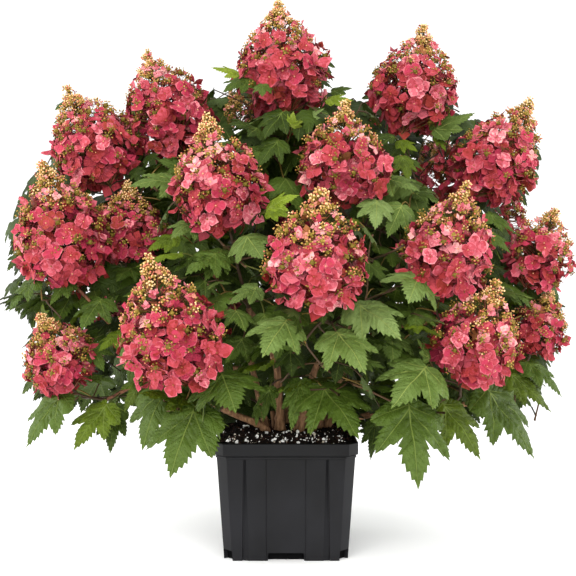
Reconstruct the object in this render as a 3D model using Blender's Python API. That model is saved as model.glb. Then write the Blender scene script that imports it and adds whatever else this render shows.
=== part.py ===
"""Potted oak-leaved hydrangea in late-summer colour.

A many-caned shrub about 0.96 m tall and wide, in the square grower's pot that
it was raised in.  Canes rise from the potting mix, fork into boughs, and end
where they enter the masses of foliage.  The conical flower heads stand on and
out of the foliage.  Metres, +Z up, origin on the floor under the pot's axis,
front towards -Y.
"""
import math
import random

import bmesh
import bpy
from mathutils import Vector

# ------------------------------------------------------------ driving sizes
GAP = 0.0004            # clearance kept between neighbouring solids

POT_H = 0.1967          # pot height
RIM_HALF = 0.1200       # half width across the rim, flat to flat
RIM_CH = 0.0167         # corner chamfer of the rim
RIM_BAND = 0.0215       # height of the proud rim band
WALL_HALF = 0.1158      # half width of the wall right under the rim band
WALL_CH = 0.0178
FOOT_HALF = 0.1036      # half width at the floor
FOOT_CH = 0.0141
WALL_T = 0.0032         # wall thickness
FLOOR_Z = 0.0200        # top of the pot's inner floor
ARCH_HALF = 0.0305      # half width of the arch between the feet
ARCH_Z = 0.0125         # height of the arch
NOTCH_Z = 0.0166        # height of the corner notches
FOOT_T = 0.0080         # thickness of the foot walls
PANEL_HALF = 0.0315     # half width of the recessed panel on each face
PANEL_DEEP = 0.0012
FLUTE_X = 0.0655        # centre line of the tapered flutes, at the rim
FLUTE_DEEP = 0.0014

SOIL_Z = 0.2055         # level of the potting mix round the canes
SOIL_EDGE_Z = 0.1920    # level of the mix at the pot's wall

# Front elevation grid: 576 units wide, eye level at row 288.
EYE_Z = 0.4524
EYE_BACK = 1.62
EYE_F = 915.0


def seen(u, v, y):
    """The point at depth y that stands at column u, row v of the front
    elevation."""
    s = (y + EYE_BACK) / EYE_F
    return Vector(((u - 288.0) * s, y, EYE_Z - (v - 288.0) * s))


# Flower heads: tip column, row, depth; base column, row, depth; width in units.
HEADS = {
    "head_top":              (278, 3, 0.010, 291, 112, 0.020, 98),
    "head_top_right":        (425, 27, 0.060, 405, 136, 0.040, 98),
    "head_top_left":         (147, 53, 0.060, 184, 156, 0.040, 97),
    "head_left_high":        (66, 89, 0.010, 108, 186, 0.010, 98),
    "head_left":             (42, 163, -0.100, 78, 287, -0.070, 104),
    "head_left_inner":       (128, 184, -0.010, 126, 262, 0.000, 84),
    "head_centre_left":      (207, 117, -0.170, 230, 231, -0.150, 100),
    "head_centre_right":     (345, 103, -0.130, 342, 206, -0.110, 100),
    "head_front":            (321, 189, -0.320, 320, 307, -0.270, 112),
    "head_right_inner":      (466, 185, -0.210, 436, 297, -0.180, 98),
    "head_right_high":       (531, 101, -0.040, 474, 199, -0.050, 92),
    "head_right_back":       (436, 129, 0.130, 441, 204, 0.110, 62),
    "head_right_small":      (518, 192, 0.110, 502, 240, 0.090, 46),
    "head_right":            (556, 209, -0.052, 527, 290, -0.052, 78),
    "head_low_right":        (496, 283, -0.230, 462, 381, -0.200, 98),
    "head_low_right_outer":  (554, 291, -0.056, 534, 357, -0.056, 66),
    "head_low_left":         (148, 258, -0.310, 190, 386, -0.270, 112),
    "head_far_left_low":     (40, 315, -0.110, 73, 389, -0.090, 80),
}
# Rear heads stand in tiers: name stem, radius, height of the base, height,
# width, bearings in degrees (90 is straight back).
REAR_TIERS = (
    ("head_rear_low", 0.315, 0.335, 0.175, 0.165, (28.0, 68.0, 113.0, 152.0)),
    ("head_rear_mid", 0.255, 0.560, 0.180, 0.165, (50.0, 92.0, 134.0)),
    ("head_rear_top", 0.120, 0.720, 0.180, 0.160, (88.0,)),
)

# Foliage masses: centre column, row, depth; half width, half depth, half
# height in metres; droop of the outer edge.
MASSES = {
    "foliage_skirt_left":         (76, 414, -0.060, 0.096, 0.145, 0.066, 0.20),
    "foliage_skirt_front_left":   (179, 420, -0.230, 0.086, 0.110, 0.078, 0.20),
    "foliage_skirt_front":        (320, 370, -0.262, 0.104, 0.130, 0.078, 0.08),
    "foliage_skirt_front_right":  (422, 418, -0.215, 0.088, 0.110, 0.096, 0.20),
    "foliage_skirt_right":        (514, 402, -0.050, 0.086, 0.145, 0.094, 0.20),
    "foliage_mid_left":           (67, 304, -0.020, 0.103, 0.165, 0.084, 0.10),
    "foliage_mid_front_left":     (232, 276, -0.165, 0.108, 0.125, 0.110, 0.05),
    "foliage_mid_front_right":    (385, 282, -0.165, 0.105, 0.125, 0.110, 0.05),
    "foliage_mid_right":          (512, 296, -0.010, 0.100, 0.165, 0.105, 0.10),
    "foliage_upper_left":         (162, 198, 0.020, 0.128, 0.140, 0.104, 0.00),
    "foliage_upper_right":        (428, 176, 0.020, 0.112, 0.135, 0.098, 0.00),
    "foliage_top":                (286, 128, 0.010, 0.112, 0.125, 0.118, 0.00),
}
# Rear masses: radius, height, bearing, half widths (across, out, up), droop.
REAR_MASSES = {
    "foliage_skirt_rear_right": (0.300, 0.270, 38.0, 0.135, 0.130, 0.100, 0.20),
    "foliage_skirt_rear_left":  (0.300, 0.270, 142.0, 0.135, 0.130, 0.100, 0.20),
    "foliage_skirt_rear":       (0.258, 0.285, 90.0, 0.150, 0.130, 0.110, 0.20),
    "foliage_mid_rear":         (0.215, 0.510, 90.0, 0.190, 0.150, 0.130, 0.05),
}

# Canes: name, foot (x, y) on the mix, knots (x, y, z) up to the tip, radius at
# the foot and at the tip.  A cane whose last entry is a name runs to that mass.
CANES = (
    ("cane_low_left", (-0.034, -0.046),
     ((-0.046, -0.049, 0.2185), (-0.110, -0.058, 0.2480), (-0.200, -0.062, 0.312)),
     0.0060, 0.0046, None),
    ("cane_left", (-0.036, 0.004),
     ((-0.046, 0.006, 0.250), (-0.066, 0.012, 0.330), (-0.105, 0.020, 0.420)),
     0.0058, 0.0044, None),
    ("cane_centre_left", (-0.010, -0.034),
     ((-0.012, -0.036, 0.250), (-0.020, -0.040, 0.330)),
     0.0078, 0.0046, "foliage_mid_front_left"),
    ("cane_centre_right", (0.023, -0.044),
     ((0.034, -0.044, 0.250), (0.054, -0.048, 0.320)),
     0.0072, 0.0044, "foliage_mid_front_right"),
    ("cane_right", (0.052, -0.016),
     ((0.066, -0.020, 0.240), (0.098, -0.024, 0.300), (0.150, -0.024, 0.372)),
     0.0066, 0.0046, None),
    ("cane_low_right", (0.056, 0.018),
     ((0.064, 0.013, 0.2190), (0.128, -0.022, 0.2270), (0.200, -0.034, 0.246)),
     0.0056, 0.0042, "foliage_skirt_right"),
    ("cane_rear", (0.004, 0.036),
     ((0.006, 0.044, 0.260), (0.008, 0.052, 0.340), (0.004, 0.056, 0.430)),
     0.0070, 0.0050, None),
    ("cane_rear_left", (-0.036, 0.046),
     ((-0.052, 0.066, 0.245), (-0.085, 0.100, 0.300)),
     0.0056, 0.0042, "foliage_skirt_rear_left"),
)
# Boughs: name, the cane they fork from, side offset at the fork, the mass or
# head that they enter, radius at the fork and at the tip, sag.
BOUGHS = (
    ("bough_left", "cane_low_left", -1, "head_left", 0.0036, 0.0026, 0.10),
    ("bough_skirt_left", "cane_low_left", 1, "foliage_skirt_left",
     0.0034, 0.0024, 0.06),
    ("bough_upper_left", "cane_left", -1, "foliage_upper_left",
     0.0036, 0.0026, 0.05),
    ("bough_mid_left", "cane_left", 1, "foliage_mid_left",
     0.0034, 0.0024, 0.08),
    ("bough_mid_right", "cane_right", 1, "foliage_mid_right",
     0.0034, 0.0024, 0.08),
    ("bough_upper_right", "cane_right", -1, "foliage_upper_right",
     0.0036, 0.0026, 0.05),
    ("bough_top", "cane_rear", -1, "foliage_top", 0.0040, 0.0028, 0.03),
    ("bough_rear", "cane_rear", 1, "foliage_mid_rear", 0.0036, 0.0026, 0.06),
)

COLOURS = {
    "pot": ((0.032, 0.032, 0.035), 0.45),
    "potting_mix": ((0.022, 0.014, 0.010), 0.95),
    "cane": ((0.210, 0.120, 0.070), 0.80),
    "bough": ((0.250, 0.130, 0.080), 0.75),
    "foliage": ((0.090, 0.190, 0.045), 0.60),
    "head": ((0.560, 0.060, 0.110), 0.60),
}


# ------------------------------------------------------------------ helpers
def material(kind):
    mat = bpy.data.materials.get(kind)
    if mat is None:
        colour, rough = COLOURS[kind]
        mat = bpy.data.materials.new(kind)
        mat.use_nodes = True
        shader = mat.node_tree.nodes["Principled BSDF"]
        shader.inputs["Base Color"].default_value = (*colour, 1.0)
        shader.inputs["Roughness"].default_value = rough
        shader.inputs["Metallic"].default_value = 0.0
    return mat


def add_object(name, verts, faces, kind):
    mesh = bpy.data.meshes.new(name)
    mesh.from_pydata([tuple(v) for v in verts], [], faces)
    bm = bmesh.new()
    bm.from_mesh(mesh)
    bmesh.ops.recalc_face_normals(bm, faces=bm.faces)
    bm.to_mesh(mesh)
    bm.free()
    mesh.materials.append(material(kind))
    obj = bpy.data.objects.new(name, mesh)
    bpy.context.scene.collection.objects.link(obj)
    return obj


def octagon(half, ch, z):
    """Corner points of a square with chamfered corners, counter-clockwise."""
    a, b = half, half - ch
    ring = [(a, -b), (a, b), (b, a), (-b, a), (-a, b), (-a, -b), (-b, -a), (b, -a)]
    return [Vector((x, y, z)) for x, y in ring]


def inset(half, ch, t):
    return half - t, ch - t * (2.0 - math.sqrt(2.0))


def wall_at(z):
    """Half width and chamfer of the outer wall at height z."""
    k = min(max(z / (POT_H - RIM_BAND), 0.0), 1.0)
    return (FOOT_HALF + (WALL_HALF - FOOT_HALF) * k,
            FOOT_CH + (WALL_CH - FOOT_CH) * k)


def loft(rings):
    """Closed solid through equal rings, with the first and last ring filled."""
    n = len(rings[0])
    verts = [p for ring in rings for p in ring]
    faces = []
    for k in range(len(rings) - 1):
        for i in range(n):
            j = (i + 1) % n
            faces.append((k * n + i, k * n + j, (k + 1) * n + j, (k + 1) * n + i))
    faces.append(tuple(reversed(range(n))))
    top = (len(rings) - 1) * n
    faces.append(tuple(top + i for i in range(n)))
    return verts, faces


def box(lo, hi):
    return loft([[Vector((lo[0], lo[1], z)), Vector((hi[0], lo[1], z)),
                  Vector((hi[0], hi[1], z)), Vector((lo[0], hi[1], z))]
                 for z in (lo[2], hi[2])])


def join(shapes):
    verts, faces = [], []
    for v, f in shapes:
        base = len(verts)
        verts += v
        faces += [tuple(base + i for i in face) for face in f]
    return verts, faces


def quarter_turns(shape):
    """Four copies of a shape, one on each face of the pot."""
    verts, faces = shape
    out = []
    for k in range(4):
        c, s = ((1, 0), (0, 1), (-1, 0), (0, -1))[k]
        out.append(([Vector((v.x * c - v.y * s, v.x * s + v.y * c, v.z))
                     for v in verts], faces))
    return join(out)


def wall_cut(bottom, top, z0, z1, deep):
    """Prism sunk into the front wall: its left and right edges at z0 and z1."""
    rings = []
    for (x0, x1), z in ((bottom, z0), (top, z1)):
        half = wall_at(z)[0]
        yin, yout = -(half - deep), -(half + 0.012)
        rings.append([Vector((x0, yout, z)), Vector((x1, yout, z)),
                      Vector((x1, yin, z)), Vector((x0, yin, z))])
    return loft(rings)


# ---------------------------------------------------------------------- pot
def build_pot():
    under = POT_H - RIM_BAND
    rings = [octagon(*wall_at(0.0), 0.0),
             octagon(*wall_at(under - 0.0045), under - 0.0045),
             octagon(WALL_HALF + 0.0012, WALL_CH + 0.0006, under - 0.0040),
             octagon(WALL_HALF + 0.0012, WALL_CH + 0.0006, under),
             octagon(RIM_HALF - 0.0010, RIM_CH + 0.0003, under + 0.0004),
             octagon(RIM_HALF, RIM_CH, POT_H - 0.0012),
             octagon(RIM_HALF - 0.0010, RIM_CH, POT_H),
             octagon(*inset(RIM_HALF, RIM_CH, 0.0042), POT_H),
             octagon(*inset(RIM_HALF, RIM_CH, 0.0052), POT_H - 0.0012),
             octagon(*inset(*wall_at(under), WALL_T), under - 0.002),
             octagon(*inset(*wall_at(FLOOR_Z), WALL_T), FLOOR_Z)]
    verts, faces = loft(rings)
    pot = add_object("pot", verts, faces, "pot")

    long = 0.2
    diag = (2.0 * FOOT_HALF - FOOT_CH) / math.sqrt(2.0) - 0.0015
    corner = []
    for z in (-0.01, NOTCH_Z):
        c = math.sqrt(0.5)
        ring = []
        for along, across in ((diag, -0.03), (diag + 0.03, -0.03),
                              (diag + 0.03, 0.03), (diag, 0.03)):
            ring.append(Vector(((along - across) * c, (along + across) * c, z)))
        corner.append(ring)
    side = [wall_cut((-PANEL_HALF, PANEL_HALF), (-PANEL_HALF, PANEL_HALF),
                     ARCH_Z - 0.004, under - 0.0055, PANEL_DEEP)]
    for sign in (-1.0, 1.0):
        side.append(wall_cut(
            tuple(sorted((sign * (FLUTE_X - 0.0125), sign * (FLUTE_X - 0.0005)))),
            tuple(sorted((sign * (FLUTE_X - 0.0018), sign * (FLUTE_X + 0.0010)))),
            0.0150, under - 0.0055, FLUTE_DEEP))
    hollow = FOOT_HALF - FOOT_T
    cutters = (
        box((-ARCH_HALF, -long, -0.01), (ARCH_HALF, long, ARCH_Z)),
        box((-long, -ARCH_HALF, -0.01), (long, ARCH_HALF, ARCH_Z)),
        box((-hollow, -hollow, -0.01), (hollow, hollow, NOTCH_Z - 0.0004)),
        quarter_turns(loft(corner)),
        quarter_turns(join(side)),
    )
    for k, (v, f) in enumerate(cutters):
        cutter = add_object(f"pot_cutter_{k}", v, f, "pot")
        cutter.hide_render = True
        cutter.display_type = 'WIRE'
        cutter.hide_set(True)
        mod = pot.modifiers.new(f"cut_{k}", 'BOOLEAN')
        mod.operation = 'DIFFERENCE'
        mod.solver = 'EXACT'
        mod.object = cutter
    return pot


def build_mix():
    """Mounded potting mix that fills the pot, level where the canes stand."""
    rng = random.Random(11)
    rings = []

    def dense(ring):
        out = []
        for i, p in enumerate(ring):
            out.append(p)
            out.append((p + ring[(i + 1) % len(ring)]) / 2.0)
        return out

    for z in (FLOOR_Z + GAP, SOIL_EDGE_Z):
        half, ch = inset(*wall_at(z), WALL_T + 0.0006)
        rings.append(dense(octagon(half, ch, z)))
    edge = rings[-1]
    levels = ((0.88, 0.45), (0.74, 0.85), (0.62, 1.0))
    for k, (frac, rise) in enumerate(levels):
        ring = []
        for p in edge:
            z = SOIL_EDGE_Z + (SOIL_Z - SOIL_EDGE_Z) * rise
            if rise < 1.0:
                z += rng.uniform(-0.0012, 0.0012)
            ring.append(Vector((p.x * frac, p.y * frac, z)))
        rings.append(ring)
    verts, faces = loft(rings)
    return add_object("potting_mix", verts, faces, "potting_mix")


# -------------------------------------------------------------------- limbs
def spline(knots, n):
    """Smooth curve through the knots, as n + 1 points."""
    pts = [knots[0] * 2 - knots[1], *knots, knots[-1] * 2 - knots[-2]]
    out = []
    spans = len(knots) - 1
    for k in range(n + 1):
        t = k / n * spans
        i = min(int(t), spans - 1)
        f = t - i
        a, b, c, d = pts[i:i + 4]
        out.append(0.5 * ((2 * b) + (c - a) * f
                          + (2 * a - 5 * b + 4 * c - d) * f * f
                          + (3 * b - a - 3 * c + d) * f * f * f))
    return out


def tube(points, radii, sides, flat_foot):
    """Tapered closed tube; the foot ring is level if flat_foot."""
    rings = []
    up = Vector((0.0, 1.0, 0.0))
    for k, p in enumerate(points):
        if k == 0:
            tangent = points[1] - points[0]
        elif k == len(points) - 1:
            tangent = points[-1] - points[-2]
        else:
            tangent = points[k + 1] - points[k - 1]
        if k == 0 and flat_foot:
            tangent = Vector((0.0, 0.0, 1.0))
        tangent.normalize()
        side = tangent.cross(up)
        if side.length < 0.2:
            side = tangent.cross(Vector((1.0, 0.0, 0.0)))
        side.normalize()
        other = tangent.cross(side).normalized()
        ring = [p + (side * math.cos(a) + other * math.sin(a)) * radii[k]
                for a in (2.0 * math.pi * i / sides for i in range(sides))]
        if flat_foot and k:
            # nothing reaches below the level foot
            for q in ring:
                q.z = max(q.z, points[0].z + 0.0004 * k)
        rings.append(ring)
    return loft(rings)


class Limb:
    def __init__(self, name, points, radii, kind, flat_foot):
        self.name = name
        self.points = points
        self.radii = radii
        self.kind = kind
        self.flat_foot = flat_foot
        self.sides = 8 if kind == "cane" else 6


# ------------------------------------------------------------ star solids
class Blob:
    """A closed solid whose points are all seen from its centre."""

    def __init__(self, name, centre, kind, keep):
        self.name = name
        self.centre = centre
        self.kind = kind
        self.keep = keep        # how strongly it keeps its shape
        self.verts = []
        self.faces = []

    def reach(self, direction):
        return max((v - self.centre).dot(direction) for v in self.verts)

    def trim(self, normal, limit):
        """Pull back every point that passes the plane at limit along normal."""
        for i, v in enumerate(self.verts):
            ray = v - self.centre
            along = ray.dot(normal)
            if along > limit:
                self.verts[i] = self.centre + ray * (limit / along)


def uneven(rng, amount, waves=5):
    """A smooth unevenness over all directions."""
    terms = []
    for _ in range(waves):
        axis = Vector((rng.gauss(0, 1), rng.gauss(0, 1), rng.gauss(0, 1))).normalized()
        terms.append((axis * rng.uniform(1.8, 4.2), rng.uniform(0, 6.283)))
    return lambda d: 1.0 + amount * sum(
        math.cos(w.dot(d) * 2.0 + p) for w, p in terms) / math.sqrt(waves)


def poles_and_rings(rows, segments):
    """Faces of a ball whose first and last points are its poles."""
    faces = []
    for k in range(rows - 1):
        for i in range(segments):
            j = (i + 1) % segments
            a, b = 1 + k * segments, 1 + (k + 1) * segments
            faces.append((a + i, a + j, b + j))
            faces.append((a + i, b + j, b + i))
    last = 1 + rows * segments
    for i in range(segments):
        j = (i + 1) % segments
        faces.append((0, 1 + j, 1 + i))
        faces.append((last, last - segments + i, last - segments + j))
    return faces


HEAD_PROFILE = ((0.00, 0.30), (0.06, 0.72), (0.20, 0.98), (0.36, 1.00),
                (0.54, 0.86), (0.70, 0.62), (0.84, 0.40), (0.95, 0.22))


def head_blob(name, tip, base, width, seed):
    rng = random.Random(seed)
    axis = tip - base
    length = axis.length
    axis.normalize()
    side = axis.cross(Vector((0.0, 1.0, 0.0))).normalized()
    other = axis.cross(side).normalized()
    blob = Blob(name, base + axis * (length * 0.36), "head", 3.0)
    bump = uneven(rng, 0.07)
    segments = 10
    blob.verts = [base + axis * (length * 0.0)]
    for t, r in HEAD_PROFILE:
        tt = 0.015 + t
        for i in range(segments):
            a = 2.0 * math.pi * (i + 0.5 * (len(blob.verts) % 2)) / segments
            out = side * math.cos(a) + other * math.sin(a)
            way = (out + axis * (tt - 0.36)).normalized()
            blob.verts.append(base + axis * (length * tt)
                              + out * (width * 0.5 * r * bump(way)))
    blob.verts.append(tip)
    blob.faces = poles_and_rings(len(HEAD_PROFILE), segments)
    return blob


def foliage_blob(name, centre, across, outward, half, droop, seed):
    """across and outward are level unit vectors; half is the three half sizes."""
    rng = random.Random(seed)
    bump = uneven(rng, 0.085)
    blob = Blob(name, centre, "foliage", 1.0)
    rows, segments = 7, 12

    def point(d):
        p = (across * (d.x * half[0]) + outward * (d.y * half[1])
             + Vector((0.0, 0.0, 1.0)) * (d.z * half[2]))
        p *= bump(d)
        out = max(0.0, p.dot(outward))
        p.z -= droop * out
        return centre + p

    blob.verts = [point(Vector((0.0, 0.0, 1.0)))]
    for k in range(rows):
        el = math.pi * (0.5 - (k + 1) / (rows + 1))
        for i in range(segments):
            az = 2.0 * math.pi * (i + 0.5 * (k % 2)) / segments
            blob.verts.append(point(Vector((math.cos(el) * math.cos(az),
                                            math.cos(el) * math.sin(az),
                                            math.sin(el)))))
    blob.verts.append(point(Vector((0.0, 0.0, -1.0))))
    blob.faces = poles_and_rings(rows, segments)
    return blob


def level(vector):
    flat = Vector((vector.x, vector.y, 0.0))
    return flat.normalized() if flat.length > 0.03 else Vector((0.0, -1.0, 0.0))


def nearest_on_segment(p, a, b):
    ab = b - a
    t = max(0.0, min(1.0, (p - a).dot(ab) / ab.length_squared))
    return a + ab * t


def keep_apart(first, second):
    """Part two star solids by one plane between their centres."""
    line = second.centre - first.centre
    gap = line.length
    line.normalize()
    ra, rb = first.reach(line), second.reach(-line)
    if ra + rb <= gap - GAP:
        return
    wa, wb = ra * first.keep, rb * second.keep
    spare = ra + rb - gap
    # the softer solid gives up more of the overlap
    cut_a = spare * wb / (wa + wb)
    plane = min(max(ra - cut_a, 0.12 * gap), 0.88 * gap)
    first.trim(line, plane - GAP)
    second.trim(-line, gap - plane - GAP)


# -------------------------------------------------------------------- model
def plan():
    """Every limb and star solid of the shrub, with its neighbours cut clear."""
    blobs = {}
    for k, (name, row) in enumerate(HEADS.items()):
        tu, tv, ty, bu, bv, by, wide = row
        tip, base = seen(tu, tv, ty), seen(bu, bv, by)
        mid_y = 0.5 * (ty + by)
        blobs[name] = head_blob(name, tip, base,
                                wide * (mid_y + EYE_BACK) / EYE_F, 100 + k)
    for stem, radius, low, tall, wide, bearings in REAR_TIERS:
        for k, bearing in enumerate(bearings):
            a = math.radians(bearing)
            out = Vector((math.cos(a), math.sin(a), 0.0))
            base = out * radius + Vector((0.0, 0.0, low + 0.012 * math.cos(5 * a)))
            tip = base + (Vector((0.0, 0.0, 1.0)) + out * 0.26).normalized() * tall
            name = f"{stem}_{k + 1}" if len(bearings) > 1 else stem
            blobs[name] = head_blob(name, tip, base, wide, 300 + int(bearing))
    for k, (name, row) in enumerate(MASSES.items()):
        u, v, y, hx, hy, hz, droop = row
        centre = seen(u, v, y)
        # the skirt and middle masses face outwards, the others face forwards
        blobs[name] = foliage_blob(
            name, centre, Vector((1.0, 0.0, 0.0)),
            Vector((0.0, -1.0, 0.0)), (hx, hy, hz), 0.0, 500 + k)
        out = level(centre)
        for i, p in enumerate(blobs[name].verts):
            reach = max(0.0, (p - centre).dot(out))
            blobs[name].verts[i] = p - Vector((0.0, 0.0, droop * reach))
    for k, (name, row) in enumerate(REAR_MASSES.items()):
        radius, z, bearing, hx, hy, hz, droop = row
        a = math.radians(bearing)
        out = Vector((math.cos(a), math.sin(a), 0.0))
        across = Vector((-out.y, out.x, 0.0))
        blobs[name] = foliage_blob(name, out * radius + Vector((0.0, 0.0, z)),
                                   across, out, (hx, hy, hz), droop, 700 + k)

    limbs = {}

    def entry(target, start, depth):
        """Where a limb from start enters its mass or flower head."""
        blob = blobs[target]
        if blob.kind == "head":
            axis = (blob.verts[-1] - blob.verts[0]).normalized()
            return blob.verts[0] - axis * 0.004
        way = (start - blob.centre).normalized()
        return blob.centre + way * (blob.reach(way) * depth)

    for name, foot, knots, r0, r1, target in CANES:
        start = Vector((*foot, SOIL_Z + GAP))
        path = [start, *(Vector(k) for k in knots)]
        if target:
            path.append(entry(target, path[-1], 0.62))
        points = spline(path, 8 if target else 7)
        radii = []
        for k, p in enumerate(points):
            t = k / (len(points) - 1)
            flare = 1.0 + 0.55 * math.exp(-(p.z - start.z) / 0.010)
            radii.append((r0 + (r1 - r0) * t) * flare)
        limbs[name] = Limb(name, points, radii, "cane", True)
    for name, cane, turn, target, r0, r1, sag in BOUGHS:
        fork = limbs[cane]
        tip = fork.points[-1]
        ahead = (tip - fork.points[-2]).normalized()
        goal = entry(target, tip, 0.66)
        aside = (goal - tip) - ahead * (goal - tip).dot(ahead)
        twin = next(b for b in BOUGHS if b[1] == cane and b[0] != name)
        other = entry(twin[3], tip, 0.66)
        part = (goal - other) - ahead * (goal - other).dot(ahead)
        part.normalize()
        start = tip + ahead * (GAP * 2.0) + part * (r0 + GAP * 2.0)
        lift = start + ahead * 0.022 + part * 0.006
        span = (goal - lift)
        mid = lift + span * 0.5 + Vector((0.0, 0.0, -sag * span.length))
        points = spline([start, lift, mid, goal], 7)
        # the first ring lies square to the cane's end
        radii = [r0 + (r1 - r0) * k / (len(points) - 1) for k in range(len(points))]
        limbs[name] = Limb(name, points, radii, "bough", False)
        limbs[name].ahead = ahead

    # cut the soft solids clear of limbs, of the pot and of each other
    order = list(blobs.values())
    for blob in order:
        for limb in limbs.values():
            for k in range(len(limb.points) - 1):
                a, b = limb.points[k], limb.points[k + 1]
                near = nearest_on_segment(blob.centre, a, b)
                way = near - blob.centre
                limit = way.length - max(limb.radii[k], limb.radii[k + 1]) * 1.02
                if limit < 0.004:
                    raise ValueError(f"{limb.name} runs into {blob.name}")
                blob.trim(way.normalized(), limit - GAP)
        c = blob.centre
        edge = RIM_HALF + 0.001
        near = Vector((max(-edge, min(edge, c.x)), max(-edge, min(edge, c.y)),
                       min(c.z, SOIL_Z + 0.004)))
        way = near - c
        if way.length > 0.01:
            blob.trim(way.normalized(), way.length - GAP)
    for i, first in enumerate(order):
        for second in order[i + 1:]:
            keep_apart(first, second)
    return blobs, limbs


def main():
    for obj in list(bpy.data.objects):
        bpy.data.objects.remove(obj, do_unlink=True)
    build_pot()
    build_mix()
    blobs, limbs = plan()
    for limb in limbs.values():
        verts, faces = tube(limb.points, limb.radii, limb.sides, limb.flat_foot)
        obj = add_object(limb.name, verts, faces, limb.kind)
        obj.data.shade_smooth()
    for blob in blobs.values():
        obj = add_object(blob.name, blob.verts, blob.faces, blob.kind)
        obj.data.shade_smooth()


main()
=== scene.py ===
"""Potted oak-leaved hydrangea: the visible plant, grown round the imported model.

Bark meshes replace the canes and boughs, shoots grow on from them by a seeded
rule, and carry lobed leaves in opposite pairs and conical flower heads.
Metres, +Z up, origin on the floor under the pot's axis, front towards -Y.
"""

import math
import random

import bmesh
import bpy
import numpy as np
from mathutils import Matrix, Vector
from mathutils.geometry import delaunay_2d_cdt


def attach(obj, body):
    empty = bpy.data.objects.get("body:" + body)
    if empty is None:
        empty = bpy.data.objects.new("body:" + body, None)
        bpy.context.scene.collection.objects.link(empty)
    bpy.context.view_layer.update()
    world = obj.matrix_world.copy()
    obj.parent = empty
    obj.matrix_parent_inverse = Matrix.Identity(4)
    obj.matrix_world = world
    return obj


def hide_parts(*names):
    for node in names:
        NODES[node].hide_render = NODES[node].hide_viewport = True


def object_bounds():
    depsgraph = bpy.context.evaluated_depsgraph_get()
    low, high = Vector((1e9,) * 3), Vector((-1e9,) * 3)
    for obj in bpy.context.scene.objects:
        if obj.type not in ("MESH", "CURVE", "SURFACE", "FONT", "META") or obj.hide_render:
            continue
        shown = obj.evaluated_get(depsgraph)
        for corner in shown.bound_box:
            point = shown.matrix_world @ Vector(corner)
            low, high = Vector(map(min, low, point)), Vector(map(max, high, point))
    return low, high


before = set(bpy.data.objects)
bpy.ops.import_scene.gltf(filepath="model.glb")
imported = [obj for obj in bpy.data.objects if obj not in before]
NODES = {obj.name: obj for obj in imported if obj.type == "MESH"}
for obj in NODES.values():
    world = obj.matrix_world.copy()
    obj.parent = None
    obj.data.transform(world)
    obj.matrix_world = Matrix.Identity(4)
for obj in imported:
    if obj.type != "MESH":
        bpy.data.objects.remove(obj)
CAD_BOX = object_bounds()

# ------------------------------------------------------------ the same plan
GAP = 0.0004
POT_H = 0.1967
RIM_HALF = 0.1200
RIM_CH = 0.0167
RIM_BAND = 0.0215
WALL_HALF = 0.1158
WALL_CH = 0.0178
FOOT_HALF = 0.1036
FOOT_CH = 0.0141
WALL_T = 0.0032
SOIL_Z = 0.2055
SOIL_EDGE_Z = 0.1920
EYE_Z = 0.4524
EYE_BACK = 1.62
EYE_F = 915.0


def seen(u, v, y):
    s = (y + EYE_BACK) / EYE_F
    return Vector(((u - 286.0) * s, y, EYE_Z - (v - 288.0) * s))


# Flower heads: tip column, row, depth; base column, row, depth; width.
HEADS = {
    "head_top":              (278, 3, 0.010, 291, 112, 0.020, 98),
    "head_top_right":        (424, 27, 0.060, 402, 134, 0.040, 92),
    "head_top_left":         (147, 53, 0.060, 186, 156, 0.040, 94),
    "head_left_high":        (67, 89, 0.010, 110, 186, 0.010, 93),
    "head_left":             (42, 163, -0.100, 78, 287, -0.070, 104),
    "head_left_inner":       (128, 184, -0.010, 126, 262, 0.000, 84),
    "head_centre_left":      (207, 117, -0.170, 230, 231, -0.150, 100),
    "head_centre_right":     (345, 103, -0.130, 342, 206, -0.110, 100),
    "head_front":            (321, 189, -0.320, 320, 307, -0.270, 112),
    "head_right_inner":      (466, 185, -0.210, 436, 297, -0.180, 98),
    "head_right_high":       (531, 101, -0.040, 473, 197, -0.050, 88),
    "head_right_back":       (436, 129, 0.130, 441, 204, 0.110, 62),
    "head_right_small":      (518, 192, 0.110, 502, 240, 0.090, 46),
    "head_right":            (555, 209, -0.052, 525, 288, -0.052, 74),
    "head_low_right":        (496, 283, -0.230, 462, 381, -0.200, 98),
    "head_low_right_outer":  (551, 291, -0.056, 530, 355, -0.056, 62),
    "head_low_left":         (148, 258, -0.310, 190, 386, -0.270, 112),
    "head_far_left_low":     (40, 315, -0.110, 73, 389, -0.090, 80),
}
REAR_TIERS = (
    ("head_rear_low", 0.315, 0.335, 0.175, 0.165, (28.0, 68.0, 113.0, 152.0)),
    ("head_rear_mid", 0.255, 0.560, 0.180, 0.165, (50.0, 92.0, 134.0)),
    ("head_rear_top", 0.120, 0.720, 0.180, 0.160, (88.0,)),
)
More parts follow.
